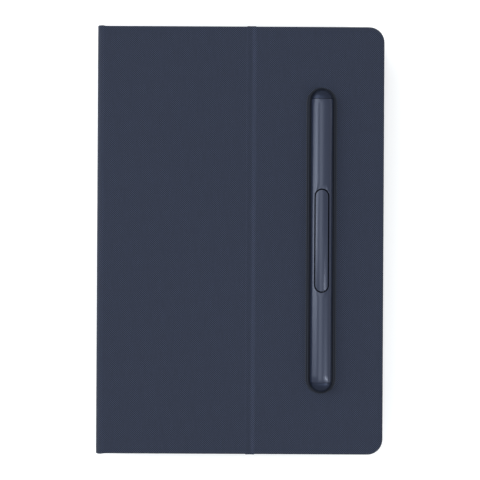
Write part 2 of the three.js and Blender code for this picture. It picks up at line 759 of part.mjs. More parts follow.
const STYLUS_CELL_RADIUS = 2.3;
const STYLUS_CELL_LENGTH = 34;
const STYLUS_CELL_Y = 48;
const STYLUS_CIRCUIT_LIFT = 1.2; // from the floor of the bore
const STYLUS_CIRCUIT_WIDTH = 6;
const STYLUS_CIRCUIT_LENGTH = 52;
const STYLUS_CIRCUIT_THICKNESS = 0.8;
const STYLUS_MAGNET_WIDTH = 3.2;
const STYLUS_MAGNET_LENGTH = 12;
const STYLUS_MAGNET_HEIGHT = 1;
const STYLUS_MAGNET_LIFT = 0.05;
const UPPER_MAGNET_Y = 20;
const LOWER_MAGNET_Y = -48;

function addStylus() {
  const half = STYLUS_LENGTH / 2;
  const seam = half - STYLUS_CAP;
  const barrelSection = ovalSection(STYLUS_X, STYLUS_MIDDLE, STYLUS_WIDTH, STYLUS_HEIGHT);
  const boreWidth = STYLUS_WIDTH - 2 * STYLUS_WALL;
  const boreHeight = STYLUS_HEIGHT - 2 * STYLUS_WALL;
  const bore = ovalSection(STYLUS_X, STYLUS_MIDDLE, boreWidth, boreHeight, THREE.Path);
  barrelSection.holes.push(bore);
  const barrelEnd = seam - STYLUS_SEAM;
  const pocketWidth = BUTTON_WIDTH + 2 * BUTTON_GROOVE;
  const pocketLength = BUTTON_LENGTH + 2 * BUTTON_GROOVE;
  const pocket = plate(
    capsuleOutline(STYLUS_X, pocketWidth, pocketLength),
    STYLUS_TOP - STYLUS_WALL - OVERSHOOT,
    STYLUS_TOP + OVERSHOOT,
  );
  addPart('stylus_barrel', cut(bar(barrelSection, -barrelEnd, barrelEnd), pocket), stylusLacquer());

  // The button's face follows the round of the barrel
  const button = common(
    plate(
      capsuleOutline(STYLUS_X, BUTTON_WIDTH, BUTTON_LENGTH),
      STYLUS_TOP - BUTTON_DEPTH,
      STYLUS_TOP + OVERSHOOT,
    ),
    bar(ovalSection(STYLUS_X, STYLUS_MIDDLE, STYLUS_WIDTH, STYLUS_HEIGHT), -barrelEnd, barrelEnd),
  );
  addPart('stylus_button', button, stylusLacquer());

  for (const [name, side] of [['stylus_end_cap', 1], ['stylus_tip_dome', -1]]) {
    addPart(name, domedEnd(side, seam), stylusGloss());
  }

  addStylusParts();
}

/** Battery, circuit board and holding magnets, inside the barrel's bore. */
function addStylusParts() {
  const battery = new THREE.CylinderGeometry(
    STYLUS_CELL_RADIUS, STYLUS_CELL_RADIUS, STYLUS_CELL_LENGTH, 16);
  battery.translate(STYLUS_X, STYLUS_CELL_Y, STYLUS_MIDDLE);
  addPart('stylus_battery', battery, cellWrap());

  const boreFloor = STYLUS_BOTTOM + STYLUS_WALL;
  const circuitBottom = boreFloor + STYLUS_CIRCUIT_LIFT;
  const circuit = block(
    STYLUS_X - STYLUS_CIRCUIT_WIDTH / 2,
    STYLUS_X + STYLUS_CIRCUIT_WIDTH / 2,
    -STYLUS_CIRCUIT_LENGTH / 2,
    STYLUS_CIRCUIT_LENGTH / 2,
    circuitBottom,
    circuitBottom + STYLUS_CIRCUIT_THICKNESS,
  );
  addPart('stylus_circuit_board', circuit, boardResin());

  const magnetBottom = boreFloor + STYLUS_MAGNET_LIFT;
  for (const [name, y] of [['upper', UPPER_MAGNET_Y], ['lower', LOWER_MAGNET_Y]]) {
    const magnet = block(
      STYLUS_X - STYLUS_MAGNET_WIDTH / 2,
      STYLUS_X + STYLUS_MAGNET_WIDTH / 2,
      y - STYLUS_MAGNET_LENGTH / 2,
      y + STYLUS_MAGNET_LENGTH / 2,
      magnetBottom,
      magnetBottom + STYLUS_MAGNET_HEIGHT,
    );
    addPart(`stylus_magnet_${name}`, magnet, magnetNickel());
  }
}

/** A domed end: half an ellipsoid that closes the barrel's oval end. */
function domedEnd(side, seam) {
  const ball = new THREE.SphereGeometry(1, 24, 12);
  // The bottom half is flattened onto the seam, so the dome is closed by a flat face
  const whole = ball.rotateX((side * Math.PI) / 2);
  const scaled = whole.scale(STYLUS_WIDTH / 2, STYLUS_CAP, STYLUS_HEIGHT / 2);
  const placed = scaled.translate(STYLUS_X, side * seam, STYLUS_MIDDLE);
  const inward = side > 0 ? [-RIGHT, seam] : [-seam, RIGHT];
  return cut(placed, block(LEFT, RIGHT, ...inward, 0, STYLUS_TOP + OVERSHOOT));
}

addBasePanel();
addSpine();
addHingeStrips();
addKeyboard();
addHolder();
addFlap();
addStylus();

export default tabletCase;
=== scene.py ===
"""Keyboard case for an eight-inch tablet, in navy canvas, closed, with its stylus in the garage.

Metres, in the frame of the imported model: +X from the spine to the free edge, +Y along the spine, +Z up.
Every size is read from the CAD nodes or is a named length in millimetres times MM.
"""

import math

import bmesh
import bpy
from mathutils import Matrix, Vector


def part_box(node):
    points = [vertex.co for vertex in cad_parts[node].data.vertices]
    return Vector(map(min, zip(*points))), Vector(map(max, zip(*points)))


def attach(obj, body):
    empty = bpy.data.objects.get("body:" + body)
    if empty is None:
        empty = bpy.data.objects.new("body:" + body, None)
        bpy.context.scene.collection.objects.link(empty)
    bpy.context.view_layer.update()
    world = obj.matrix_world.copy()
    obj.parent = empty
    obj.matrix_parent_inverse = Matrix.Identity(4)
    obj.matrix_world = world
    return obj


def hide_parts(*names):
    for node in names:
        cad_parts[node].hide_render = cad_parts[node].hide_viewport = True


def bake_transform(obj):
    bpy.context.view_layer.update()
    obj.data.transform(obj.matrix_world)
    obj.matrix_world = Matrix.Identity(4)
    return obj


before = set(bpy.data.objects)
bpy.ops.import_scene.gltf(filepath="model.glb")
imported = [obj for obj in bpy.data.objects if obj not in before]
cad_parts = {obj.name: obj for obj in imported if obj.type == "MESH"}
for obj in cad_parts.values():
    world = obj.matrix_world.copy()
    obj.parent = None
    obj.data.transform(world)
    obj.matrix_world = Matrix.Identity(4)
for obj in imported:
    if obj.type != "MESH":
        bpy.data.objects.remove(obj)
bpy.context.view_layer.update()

MM = 0.001

# ---- places taken from the frame

BASE_LOW, BASE_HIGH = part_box("base_cover_fabric")
SPINE_LOW, SPINE_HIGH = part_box("spine_fabric")
HOLDER_LOW, HOLDER_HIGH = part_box("holder_fabric")
FLAP_LOW, FLAP_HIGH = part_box("flap_fabric")
TRAY_LOW, TRAY_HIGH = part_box("garage_tray")
BARREL_LOW, BARREL_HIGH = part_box("stylus_barrel")
END_LOW, END_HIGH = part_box("stylus_end_cap")
BUTTON_LOW, BUTTON_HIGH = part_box("stylus_button")
KEYBOARD_LOW, KEYBOARD_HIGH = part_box("keyboard_lower_shell")

HINGE_X = BASE_LOW.x
LOWER_HINGE_Z = SPINE_LOW.z
UPPER_HINGE_Z = SPINE_HIGH.z
PANEL = BASE_HIGH.z - BASE_LOW.z
COVER_TOP = FLAP_HIGH.z
COVER_HALF = BASE_HIGH.y
SPINE_HALF = SPINE_HIGH.y
CORNER = 7.6 * MM  # radius of the corners on the free edge
CLOTH = 0.7 * MM

STYLUS_X = (BARREL_LOW.x + BARREL_HIGH.x) / 2
STYLUS_Z = (BARREL_LOW.z + BARREL_HIGH.z) / 2

# ---- mesh helpers

SHARP = 40  # degrees: an edge that turns more than this stays sharp
WELD = 0.001 * MM  # points nearer than this become one
LEAST_RADIUS = 0.02 * MM
CORNER_STEPS = 5


def new_object(name, data):
    """An object in the scene with this mesh, light or camera."""
    obj = bpy.data.objects.new(name, data)
    bpy.context.scene.collection.objects.link(obj)
    return obj


def mesh_object(name, points, faces, material, uvs=None, smooth=True):
    """A new mesh object. uvs, where given, holds one place on the cloth, in metres, for each point."""
    mesh = bpy.data.meshes.new(name)
    mesh.from_pydata([tuple(p) for p in points], [], faces)
    if uvs is not None:
        layer = mesh.uv_layers.new(name="cloth")
        for loop in mesh.loops:
            layer.data[loop.index].uv = uvs[loop.vertex_index]
    mesh.polygons.foreach_set("use_smooth", [smooth] * len(mesh.polygons))
    mesh.materials.append(material)
    obj = new_object(name, mesh)
    tidy_faces(obj)
    return obj


def tidy_faces(obj):
    """Faces point outwards, and sharp edges stay sharp under smooth shading."""
    work = bmesh.new()
    work.from_mesh(obj.data)
    bmesh.ops.recalc_face_normals(work, faces=work.faces)
    sharp = math.radians(SHARP)
    for edge in work.edges:
        edge.smooth = len(edge.link_faces) == 2 and edge.calc_face_angle(0) < sharp
    work.to_mesh(obj.data)
    work.free()


def ring_faces(rows, count):
    """Quads between closed rows of count points each."""
    faces = []
    for row in range(rows - 1):
        for i in range(count):
            j = (i + 1) % count
            faces.append((row * count + i, row * count + j, (row + 1) * count + j, (row + 1) * count + i))
    return faces


def rounded_rectangle(low, high, end_radius, start_radius):
    """Points round a rectangle: end_radius rounds its corners at the high X end, start_radius the others."""
    corners = (
        (high[0] - end_radius, high[1] - end_radius, end_radius, 0),
        (low[0] + start_radius, high[1] - start_radius, start_radius, 90),
        (low[0] + start_radius, low[1] + start_radius, start_radius, 180),
        (high[0] - end_radius, low[1] + end_radius, end_radius, 270),
    )
    return [p for x, y, radius, turn in corners
            for p in arc((x, y), radius, turn, turn + 90, CORNER_STEPS)]


def add_stack(points, faces, low, high, rings, end_radius, start_radius=None, turn=Vector):
    """Adds a closed body of rings, each (inset, level), between low and high. turn places its own axes."""
    if start_radius is None:
        start_radius = end_radius
    first = len(points)
    for inset, level in rings:
        outline = rounded_rectangle(
            (low[0] + inset, low[1] + inset),
            (high[0] - inset, high[1] - inset),
            max(LEAST_RADIUS, end_radius - inset),
            max(LEAST_RADIUS, start_radius - inset),
        )
        points.extend(turn((x, y, level)) for x, y in outline)
    count = (len(points) - first) // len(rings)
    faces.extend(tuple(first + i for i in face) for face in ring_faces(len(rings), count))
    faces.append(tuple(range(first, first + count)))
    faces.append(tuple(range(len(points) - count, len(points))))


def refined(node, name, body, slot, material, width, segments=2):
    """Adds a copy of a CAD node with its edges rounded, standing for that node."""
    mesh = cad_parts[node].data.copy()
    obj = new_object(name, mesh)
    work = bmesh.new()
    work.from_mesh(mesh)
    bmesh.ops.remove_doubles(work, verts=work.verts, dist=WELD)
    work.to_mesh(mesh)
    work.free()
    apply_modifiers(bevel(obj, width, segments, 30))
    obj.data.materials.clear()
    obj.data.materials.append(material)
    level_shading(obj)
    place(obj, body, slot, node)


def level_shading(obj):
    """Flat faces are shaded flat, and only the rounded edges between them turn."""
    obj.data.polygons.foreach_set("use_smooth", [True] * len(obj.data.polygons))
    tidy_faces(obj)
    step = obj.modifiers.new("normals", "WEIGHTED_NORMAL")
    step.keep_sharp = True
    apply_modifiers(obj)


def place(obj, body, slot, *nodes):
    """obj moves with a body and stands for CAD nodes. slot is not used."""
    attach(obj, body)
    if nodes:
        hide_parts(*nodes)


def apply_modifiers(obj):
    """Bakes the object's modifiers into its mesh."""
    graph = bpy.context.evaluated_depsgraph_get()
    made = bpy.data.meshes.new_from_object(obj.evaluated_get(graph))
    obj.modifiers.clear()
    obj.data = made


def cut(obj, cutter, operation="DIFFERENCE", material_mode="TRANSFER"):
    """Cuts a solid out of obj, or keeps what is inside it, and throws the solid away.

    With TRANSFER the new faces take the cutter's material, and with INDEX obj's own.
    """
    step = obj.modifiers.new("cut", "BOOLEAN")
    step.operation = operation
    step.solver = "EXACT"
    step.object = cutter
    step.material_mode = material_mode
    apply_modifiers(obj)
    bpy.data.objects.remove(cutter)


def bevel(obj, width, segments, angle):
    """Rounds the edges that turn more than angle, in degrees."""
    step = obj.modifiers.new("bevel", "BEVEL")
    step.width = width
    step.segments = segments
    step.limit_method = "ANGLE"
    step.angle_limit = math.radians(angle)
    return obj


def arc(centre, radius, start, end, steps):
    """Points of a round stretch in a plane, both ends included. Angles are in degrees."""
    turn = [math.radians(start + (end - start) * i / steps) for i in range(steps + 1)]
    return [(centre[0] + radius * math.cos(a), centre[1] + radius * math.sin(a)) for a in turn]


# ---- material helpers


class Nodes:
    """A material's node tree, with short calls for what the materials below need."""

    def __init__(self, name):
        self.material = bpy.data.materials.new(name)
        self.material.use_nodes = True
        self.tree = self.material.node_tree
        self.tree.nodes.clear()
        self.shader = self.add("ShaderNodeBsdfPrincipled")
        self.feed(self.add("ShaderNodeOutputMaterial"), "Surface", self.shader.outputs[0])

    def add(self, kind, **settings):
        """A new node with the given properties."""
        node = self.tree.nodes.new(kind)
        for key, value in settings.items():
            setattr(node, key, value)
        return node

    def feed(self, node, index, value):
        """Links a socket to a node's input, or sets the input to a plain value."""
        if isinstance(value, bpy.types.NodeSocket):
            self.tree.links.new(value, node.inputs[index])
        else:
            node.inputs[index].default_value = value

    def math(self, operation, a, b=0.0):
        node = self.add("ShaderNodeMath", operation=operation)
        self.feed(node, 0, a)
        self.feed(node, 1, b)
        return node.outputs[0]

    def times(self, product, *factors):
        for factor in factors:
            product = self.math("MULTIPLY", product, factor)
        return product

    def coordinates(self):
        return self.add("ShaderNodeTexCoord").outputs["Object"]

    def scaled(self, vector, scale):
        node = self.add("ShaderNodeMapping")
        self.feed(node, "Vector", vector)
        self.feed(node, "Scale", scale)
        return node.outputs[0]

    def noise(self, vector, scale, detail, roughness=0.5):
        node = self.add("ShaderNodeTexNoise")
        self.feed(node, "Vector", vector)
        self.feed(node, "Scale", scale)
        self.feed(node, "Detail", detail)
        self.feed(node, "Roughness", roughness)
        return node.outputs["Fac"]

    def spread(self, value, low, high, from_low=0.0, from_high=1.0, kind="LINEAR"):
        """The value, moved from its own range to low..high."""
        node = self.add("ShaderNodeMapRange", interpolation_type=kind)
        self.feed(node, "Value", value)
        self.feed(node, "From Min", from_low)
        self.feed(node, "From Max", from_high)
        self.feed(node, "To Min", low)
        self.feed(node, "To Max", high)
        return node.outputs[0]

    def brightened(self, colour, factor):
        """A colour times a varying factor."""
        node = self.add("ShaderNodeVectorMath", operation="SCALE")
        self.feed(node, 0, colour[:3])
        self.feed(node, "Scale", factor)
        return node.outputs[0]

    def bump(self, height, distance):
        node = self.add("ShaderNodeBump")
        self.feed(node, "Distance", distance)
        self.feed(node, "Height", height)
        self.feed(self.shader, "Normal", node.outputs[0])

    def edge_share(self, reach):
        """1 on edges and corners, 0 on flat faces."""
        node = self.add("ShaderNodeBevel", samples=4)
        self.feed(node, "Radius", reach)
        facing = self.add("ShaderNodeVectorMath", operation="DOT_PRODUCT")
        self.feed(facing, 0, node.outputs[0])
        self.feed(facing, 1, self.add("ShaderNodeNewGeometry").outputs["Normal"])
        return self.spread(facing.outputs["Value"], 1.0, 0.0, 0.75, 0.98)

    def set(self, **values):
        """Sets or links the shader's inputs, each named with _ for its spaces."""
        for name, value in values.items():
            self.feed(self.shader, name.replace("_", " "), value)


def rgb(red, green, blue):
    """A linear colour from 8-bit sRGB numbers."""

    def linear(c):
        c /= 255
        return c / 12.92 if c <= 0.04045 else ((c + 0.055) / 1.055) ** 2.4

    return (linear(red), linear(green), linear(blue), 1.0)


# ---- materials

THREAD = 0.52 * MM
YARN_CONTRAST = 0.56  # the warp is spun lighter than the weft
WEAVE_RELIEF = 0.10 * MM
GRAIN_SCALE = 3200.0  # per metre


def canvas(name, colour, fold=None):
    """Plain-weave canvas, drawn from the place on the cloth, so that it bends and folds with it.

    fold is (middle, half width, share): a line along Y painted lighter, a painted highlight where the
    crease's wall faces the light.
    """
    n = Nodes(name)
    cloth = n.add("ShaderNodeUVMap", uv_map="cloth").outputs[0]
    axes = n.add("ShaderNodeSeparateXYZ")
    n.feed(axes, 0, cloth)
    # Slubs: each thread wanders and swells a little along its length
    wander = n.spread(n.noise(cloth, 90.0, 3.0), -0.35 * THREAD, 0.35 * THREAD)
    across, along = (n.math("SINE", n.times(n.math("ADD", axes.outputs[i], wander), math.pi / THREAD))
                     for i in (0, 1))
    warp = n.math("ABSOLUTE", across)
    weft = n.math("ABSOLUTE", along)
    over = n.math("GREATER_THAN", n.times(across, along), 0.0)
    under = n.math("SUBTRACT", 1.0, over)
    warp_up = n.times(n.math("POWER", warp, 0.8), n.math("POWER", weft, 0.4))
    weft_up = n.times(n.math("POWER", weft, 0.8), n.math("POWER", warp, 0.4))
    height = n.math("ADD", n.times(over, warp_up), n.times(under, weft_up))
    warp_slub = n.noise(n.scaled(cloth, (1 / THREAD, 0.06 / THREAD, 1)), 1.0, 1.0)
    weft_slub = n.noise(n.scaled(cloth, (0.06 / THREAD, 1 / THREAD, 1)), 1.0, 1.0)
    slub = n.math("ADD", n.times(over, warp_slub), n.times(under, weft_slub))
    worn = n.times(n.edge_share(0.8 * MM), n.noise(cloth, 700.0, 2.0))
    tone = n.times(n.spread(height, 0.7, 1.16), n.spread(slub, 0.8, 1.2),
                   n.spread(over, 1 - YARN_CONTRAST, 1 + YARN_CONTRAST),
                   n.spread(n.noise(cloth, 14.0, 2.0), 0.96, 1.04), n.spread(worn, 1.0, 1.5))
    # Painted highlight: a band along the crease is painted lighter where the crease's wall faces the light
    if fold:
        middle, half_width, share = fold
        off = n.math("ABSOLUTE", n.math("SUBTRACT", axes.outputs[0], middle))
        tone = n.times(tone, n.spread(off, 1.0, 1.0 + share, half_width, 0.0, "SMOOTHSTEP"))
    n.set(Base_Color=n.brightened(colour, tone), Roughness=n.spread(slub, 0.78, 0.95))
    n.set(Sheen_Weight=0.06, Sheen_Roughness=0.5, Specular_IOR_Level=0.2)
    n.bump(height, WEAVE_RELIEF)
    return n.material


def microfibre(name, colour):
    """Brushed lining: short nap with a soft mottle."""
    n = Nodes(name)
    place = n.coordinates()
    nap = n.noise(place, 2600.0, 4.0, 0.7)
    mottle = n.noise(place, 60.0, 3.0)
    tone = n.times(n.spread(nap, 0.7, 1.3), n.spread(mottle, 0.9, 1.1))
    n.set(Base_Color=n.brightened(colour, tone), Roughness=n.spread(nap, 0.85, 1.0))
    n.set(Sheen_Weight=0.35, Sheen_Roughness=0.4, Specular_IOR_Level=0.2)
    n.bump(nap, 0.12 * MM)
    return n.material


def plastic(name, colour, roughness, grain=0.02 * MM, gloss=0.5):
    """Moulded plastic: fine spark grain, a slight flow mottle, and edges rubbed a little lighter."""
    n = Nodes(name)
    place = n.coordinates()
    spark = n.noise(place, GRAIN_SCALE, 2.0)
    flow = n.noise(n.scaled(place, (1, 0.3, 1)), 40.0, 2.0)
    rubbed = n.times(n.edge_share(0.4 * MM), n.spread(n.noise(place, 220.0, 3.0), 0.3, 1.0))
    tone = n.times(n.spread(flow, 0.95, 1.05), n.spread(rubbed, 1.0, 1.35))
    n.set(Base_Color=n.brightened(colour, tone))
    n.set(Roughness=n.math("ADD", n.spread(flow, roughness - 0.05, roughness + 0.05),
                           n.spread(rubbed, 0.0, -0.08)))
    n.set(Specular_IOR_Level=gloss)
    n.bump(spark, grain)
    return n.material


def lacquer(name, colour, roughness=0.3, metallic=0.35, coat=0.25):
    """Satin metallic lacquer: a fine flake under a clear coat, brushed very lightly along Y."""
    n = Nodes(name)
    place = n.coordinates()
    flake = n.noise(place, 5200.0, 1.0)
    brushed = n.noise(n.scaled(place, (1, 0.01, 1)), 2600.0, 2.0)
    smear = n.noise(n.scaled(place, (1, 0.2, 1)), 70.0, 2.0)
    rubbed = n.times(n.edge_share(0.3 * MM), n.spread(smear, 0.2, 1.0))
    tone = n.times(n.spread(flake, 0.86, 1.14), n.spread(brushed, 0.97, 1.03), n.spread(rubbed, 1.0, 1.4))
    n.set(Base_Color=n.brightened(colour, tone), Metallic=metallic)
    n.set(Roughness=n.spread(smear, roughness - 0.05, roughness + 0.06))
    n.set(Coat_Weight=coat, Coat_Roughness=0.22)
    n.bump(brushed, 0.004 * MM)
    return n.material


def metal(name, colour, roughness=0.3):
    """Plated steel: directional polish lines and a few darker stains."""
    n = Nodes(name)
    place = n.coordinates()
    lines = n.noise(n.scaled(place, (1, 0.02, 1)), 3000.0, 3.0)
    stain = n.noise(place, 180.0, 3.0)
    n.set(Base_Color=n.brightened(colour, n.spread(stain, 0.86, 1.08)), Metallic=1.0)
    n.set(Roughness=n.spread(lines, roughness - 0.08, roughness + 0.12))
    n.bump(lines, 0.005 * MM)
    return n.material


NAVY = rgb(42, 48, 64)
CREASE_MIDDLE = (HOLDER_HIGH.x + FLAP_LOW.x) / 2
CREASE_WIDTH = FLAP_LOW.x - HOLDER_HIGH.x

CANVAS = canvas("navy_canvas", NAVY)
# Canvas with a painted highlight: lighter on the crease's right wall, which faces the light
CREASE_HIGHLIGHT_CANVAS = canvas("crease_highlight_canvas", NAVY,
                        (CREASE_MIDDLE + 0.28 * CREASE_WIDTH, 0.32 * CREASE_WIDTH, 0.24))
LINING = microfibre("navy_microfibre", rgb(40, 45, 58))
GREYBOARD = microfibre("pressed_greyboard", rgb(141, 138, 132))
DECK_PLASTIC = plastic("deck_plastic", rgb(31, 34, 42), 0.5)
KEY_PLASTIC = plastic("key_plastic", rgb(22, 24, 29), 0.45, grain=0.012 * MM)
LEGEND_INK = plastic("legend_ink", rgb(190, 193, 198), 0.6, grain=0.004 * MM)
SHELL_PLASTIC = plastic("shell_plastic", rgb(32, 37, 49), 0.5)
GARAGE_PLASTIC = plastic("garage_plastic", rgb(37, 41, 51), 0.6, grain=0.008 * MM, gloss=0.2)
DOME_RUBBER = plastic("dome_rubber", rgb(184, 184, 180), 0.7)
FILM = plastic("contact_film", rgb(150, 168, 160), 0.3)
RESIN = plastic("circuit_resin", rgb(31, 90, 58), 0.35)
PIPE = plastic("light_pipe", rgb(215, 225, 232), 0.15, grain=0.002 * MM)
LACQUER = lacquer("stylus_lacquer", rgb(37, 45, 66))
DOME_GLOSS = lacquer("stylus_dome", rgb(35, 42, 60), 0.4, 0.7, coat=0.0)
# Painted shade: the groove round the stylus button gets near-black walls and floor so that it looks dark
GROOVE_PAINTED_SHADE = plastic("groove_painted_shade", rgb(13, 17, 28), 0.8, grain=0.004 * MM, gloss=0.1)
FOIL = metal("battery_foil", rgb(154, 158, 163), 0.4)
STEEL = metal("plated_steel", rgb(185, 188, 192))
GOLD = metal("contact_gold", rgb(212, 175, 95), 0.25)
NICKEL = metal("magnet_nickel", rgb(168, 170, 174), 0.22)

# ---- cloth panels

TURN_IN = 1.5 * MM  # the border of cloth that shows round the lining
TURN_IN_DEPTH = 0.6 * MM  # the lining lies in this recess
TURN_IN_EDGE = 0.1 * MM
BOARD_EDGE = 0.85 * MM  # from the panel's edge to the inside of its turned cloth
OUTER_ROUND = 1.1 * MM
INNER_ROUND = 0.5 * MM
FLARE = 2.6 * MM  # over this distance from the spine the panels widen to the spine's length
BEND_LENGTH = PANEL * math.pi / 2
SPINE_HEIGHT = UPPER_HINGE_Z - LOWER_HINGE_Z
RIM_EDGE_WIDTH = 15.5 * MM
RIM_EDGE_LENGTH = 150.3 * MM
FLARE_STEPS = 4
PANEL_STEPS = 10
PANEL_CORNER_STEPS = 10
CLOTH_HOLE_INSET = 0.4 * MM  # the rim lies this far over the cloth, across both sides together


def panel_outline(x0, x1, half, corner):
    """Points round a panel but for its end at x0, each with the way its edge is inset.

    corner is the radius at the +X end, or 0 where that end is a fold too.
    """
    outline = []
    end = x1 - corner
    along = [x0 + FLARE * i / FLARE_STEPS for i in range(FLARE_STEPS)]
    along += [x0 + FLARE + (end - x0 - FLARE) * i / PANEL_STEPS for i in range(PANEL_STEPS + 1)]
    for side in (-1, 1):
        leg = []
        for x in along:
            flare = (SPINE_HALF - half) * max(0.0, 1 - (x - x0) / FLARE) ** 2 if x0 == HINGE_X else 0.0
            leg.append((x, side * (half + flare), 0.0, -side))
        if corner:
            turn = arc((end, side * (half - corner)), corner, side * 90, 0, PANEL_CORNER_STEPS)[1:]
            centre = Vector((end, side * (half - corner)))
            leg += [(x, y, *((centre - Vector((x, y))) / corner)) for x, y in turn]
        outline += leg if side < 0 else leg[::-1]
    return outline


def edge_profile(outer_z, inner_z):
    """From the inside of the cloth, round the turned edge, to the flat of the outer face.

    Each step is (inset from the edge, level, distance on the cloth from the outer flat).
    """
    sign = 1 if outer_z > inner_z else -1
    thickness = abs(outer_z - inner_z)
    tucked = inner_z + sign * TURN_IN_DEPTH
    steps = [
        (BOARD_EDGE, outer_z - sign * CLOTH),
        (BOARD_EDGE, tucked),
        (TURN_IN, tucked),
        (TURN_IN, inner_z + sign * TURN_IN_EDGE),
        (TURN_IN - TURN_IN_EDGE, inner_z),
    ]
    for x, z in arc((INNER_ROUND, INNER_ROUND), INNER_ROUND, 270, 180, 4):
        steps.append((x, inner_z + sign * z))
    for x, z in arc((OUTER_ROUND, thickness - OUTER_ROUND), OUTER_ROUND, 180, 90, 7):
        steps.append((x, inner_z + sign * z))
    profile = []
    walked = 0.0
    for i in range(len(steps) - 1, -1, -1):
        if i < len(steps) - 1:
            walked += math.dist(steps[i], steps[i + 1])
        profile.append((*steps[i], walked))
    return profile[::-1]


def cloth_panel(name, x0, x1, half, corner, outer_z, inner_z, cloth_x, turn=Vector):
    """Cloth wrapped over a board, open at its folds.

    cloth_x turns a place in X into a place along the unrolled cloth. turn places the panel's own axes.
    """
    outline = panel_outline(x0, x1, half, corner)
    profile = edge_profile(outer_z, inner_z)
    rows, count = len(profile), len(outline)
    middle = count // 2
    way = -1 if cloth_x(1.0) < cloth_x(0.0) else 1
    points, uvs = [], []
    for inset, z, walked in profile:
        for x, y, inward_x, inward_y in outline:
            points.append(turn((x + inset * inward_x, y + inset * inward_y, z)))
            flat_x = x + OUTER_ROUND * inward_x
            flat_y = y + OUTER_ROUND * inward_y
            uvs.append((cloth_x(flat_x) - way * walked * inward_x, flat_y - walked * inward_y))
    faces = []
    for row in range(rows - 1):
        for i in range(count - 1):
            if corner or i != middle - 1:
                a = row * count + i
                faces.append((a, a + 1, a + count + 1, a + count))
    # The flats are filled by strips from one long edge to the other
    for start in (0, (rows - 1) * count):
        for i in range(middle - 1):
            faces.append((start + i, start + i + 1, start + count - 2 - i, start + count - 1 - i))
    # The end at each fold is one U-shaped face
    for near, far in ((0, count - 1), (middle - 1, middle))[: 1 if corner else 2]:
        faces.append(tuple([row * count + near for row in range(rows)]
                           + [row * count + far for row in reversed(range(rows))]))
    return mesh_object(name, points, faces, CANVAS, uvs)


def front_cloth(x):
    """The holder panel and the flap lie where they are on the unrolled cloth."""
    return x


def back_cloth(x):
    """Along the back panel, the cloth has passed the spine and both of its bends."""
    return HINGE_X - 2 * BEND_LENGTH - SPINE_HEIGHT - (x - HINGE_X)


SWEEP_STEPS = 24
SWEEP_ROUND = 0.3 * MM


def swept_cloth(name, section, half, cloth_at, material=CANVAS):
    """A closed section in X and Z carried along Y between rounded ends, with the cloth's place along it."""
    centre_x = sum(x for x, _ in section) / len(section)
    centre_z = sum(z for _, z in section) / len(section)
    rows = []
    for inset, back in ((SWEEP_ROUND, 0.0), (0.3 * SWEEP_ROUND, 0.3 * SWEEP_ROUND), (0.0, SWEEP_ROUND)):
        rows.append((inset, half - back))
    stations = [(inset, -y) for inset, y in rows]
    stations += [(0.0, -half + 2 * half * i / SWEEP_STEPS) for i in range(1, SWEEP_STEPS)]
    stations += [(inset, y) for inset, y in reversed(rows)]
    points, uvs = [], []
    for inset, y in stations:
        for (x, z), u in zip(section, cloth_at):
            to_centre = Vector((centre_x - x, centre_z - z))
            step = to_centre.normalized() * min(inset, 0.3 * to_centre.length)
            points.append((x + step.x, y, z + step.y))
            uvs.append((u, y))
    count = len(section)
    faces = ring_faces(len(stations), count)
    faces.append(tuple(range(count)))
    faces.append(tuple((len(stations) - 1) * count + i for i in range(count)))
    return mesh_object(name, points, faces, material, uvs)


FOLD_CORE = 0.5 * MM
BEND_STEPS = 12


def bend_section(hinge_z, start):
    """Section of a spine fold, filled by its turned-in cloth: outer arc out and inner arc back."""
    outer = arc((HINGE_X, hinge_z), PANEL, start, start + 90, BEND_STEPS)
    inner = arc((HINGE_X, hinge_z), FOLD_CORE, start + 90, start, BEND_STEPS)
    return outer + inner


HOLE_WIDTH = RIM_EDGE_WIDTH - CLOTH_HOLE_INSET
HOLE_LENGTH = RIM_EDGE_LENGTH - CLOTH_HOLE_INSET


def build_cover():
    """The cloth of both panels and the flap, then of the spine and the folds."""
    base = cloth_panel("cover_back_panel", HINGE_X, BASE_HIGH.x, COVER_HALF, CORNER,
                       BASE_LOW.z, BASE_HIGH.z, back_cloth)
    holder = cloth_panel("cover_front_panel", HINGE_X, HOLDER_HIGH.x, COVER_HALF, 0,
                         COVER_TOP, HOLDER_LOW.z, front_cloth)
    flap = cloth_panel("cover_flap", FLAP_LOW.x, FLAP_HIGH.x, COVER_HALF, CORNER,
                       COVER_TOP, FLAP_LOW.z, front_cloth)
    cut(flap, capsule_block("flap_hole", HOLE_WIDTH, HOLE_LENGTH, FLAP_LOW.z - PANEL, COVER_TOP + PANEL))
    tidy_faces(flap)
    place(base, "keyboard_base", "woven_cover", "base_cover_fabric")
    place(holder, "tablet_holder", "woven_cover", "holder_fabric")
    place(flap, "stand_flap", "woven_cover", "flap_fabric")
    build_spine()
    build_crease()


def spine_cloth(z):
    """Down the spine, the cloth has passed its upper bend."""
    return HINGE_X - BEND_LENGTH - (UPPER_HINGE_Z - z)


def upright(point):
    """A panel drawn lying down, stood up for the spine: its X goes up and its Z goes along X."""
    return Vector((point[2], point[1], point[0]))


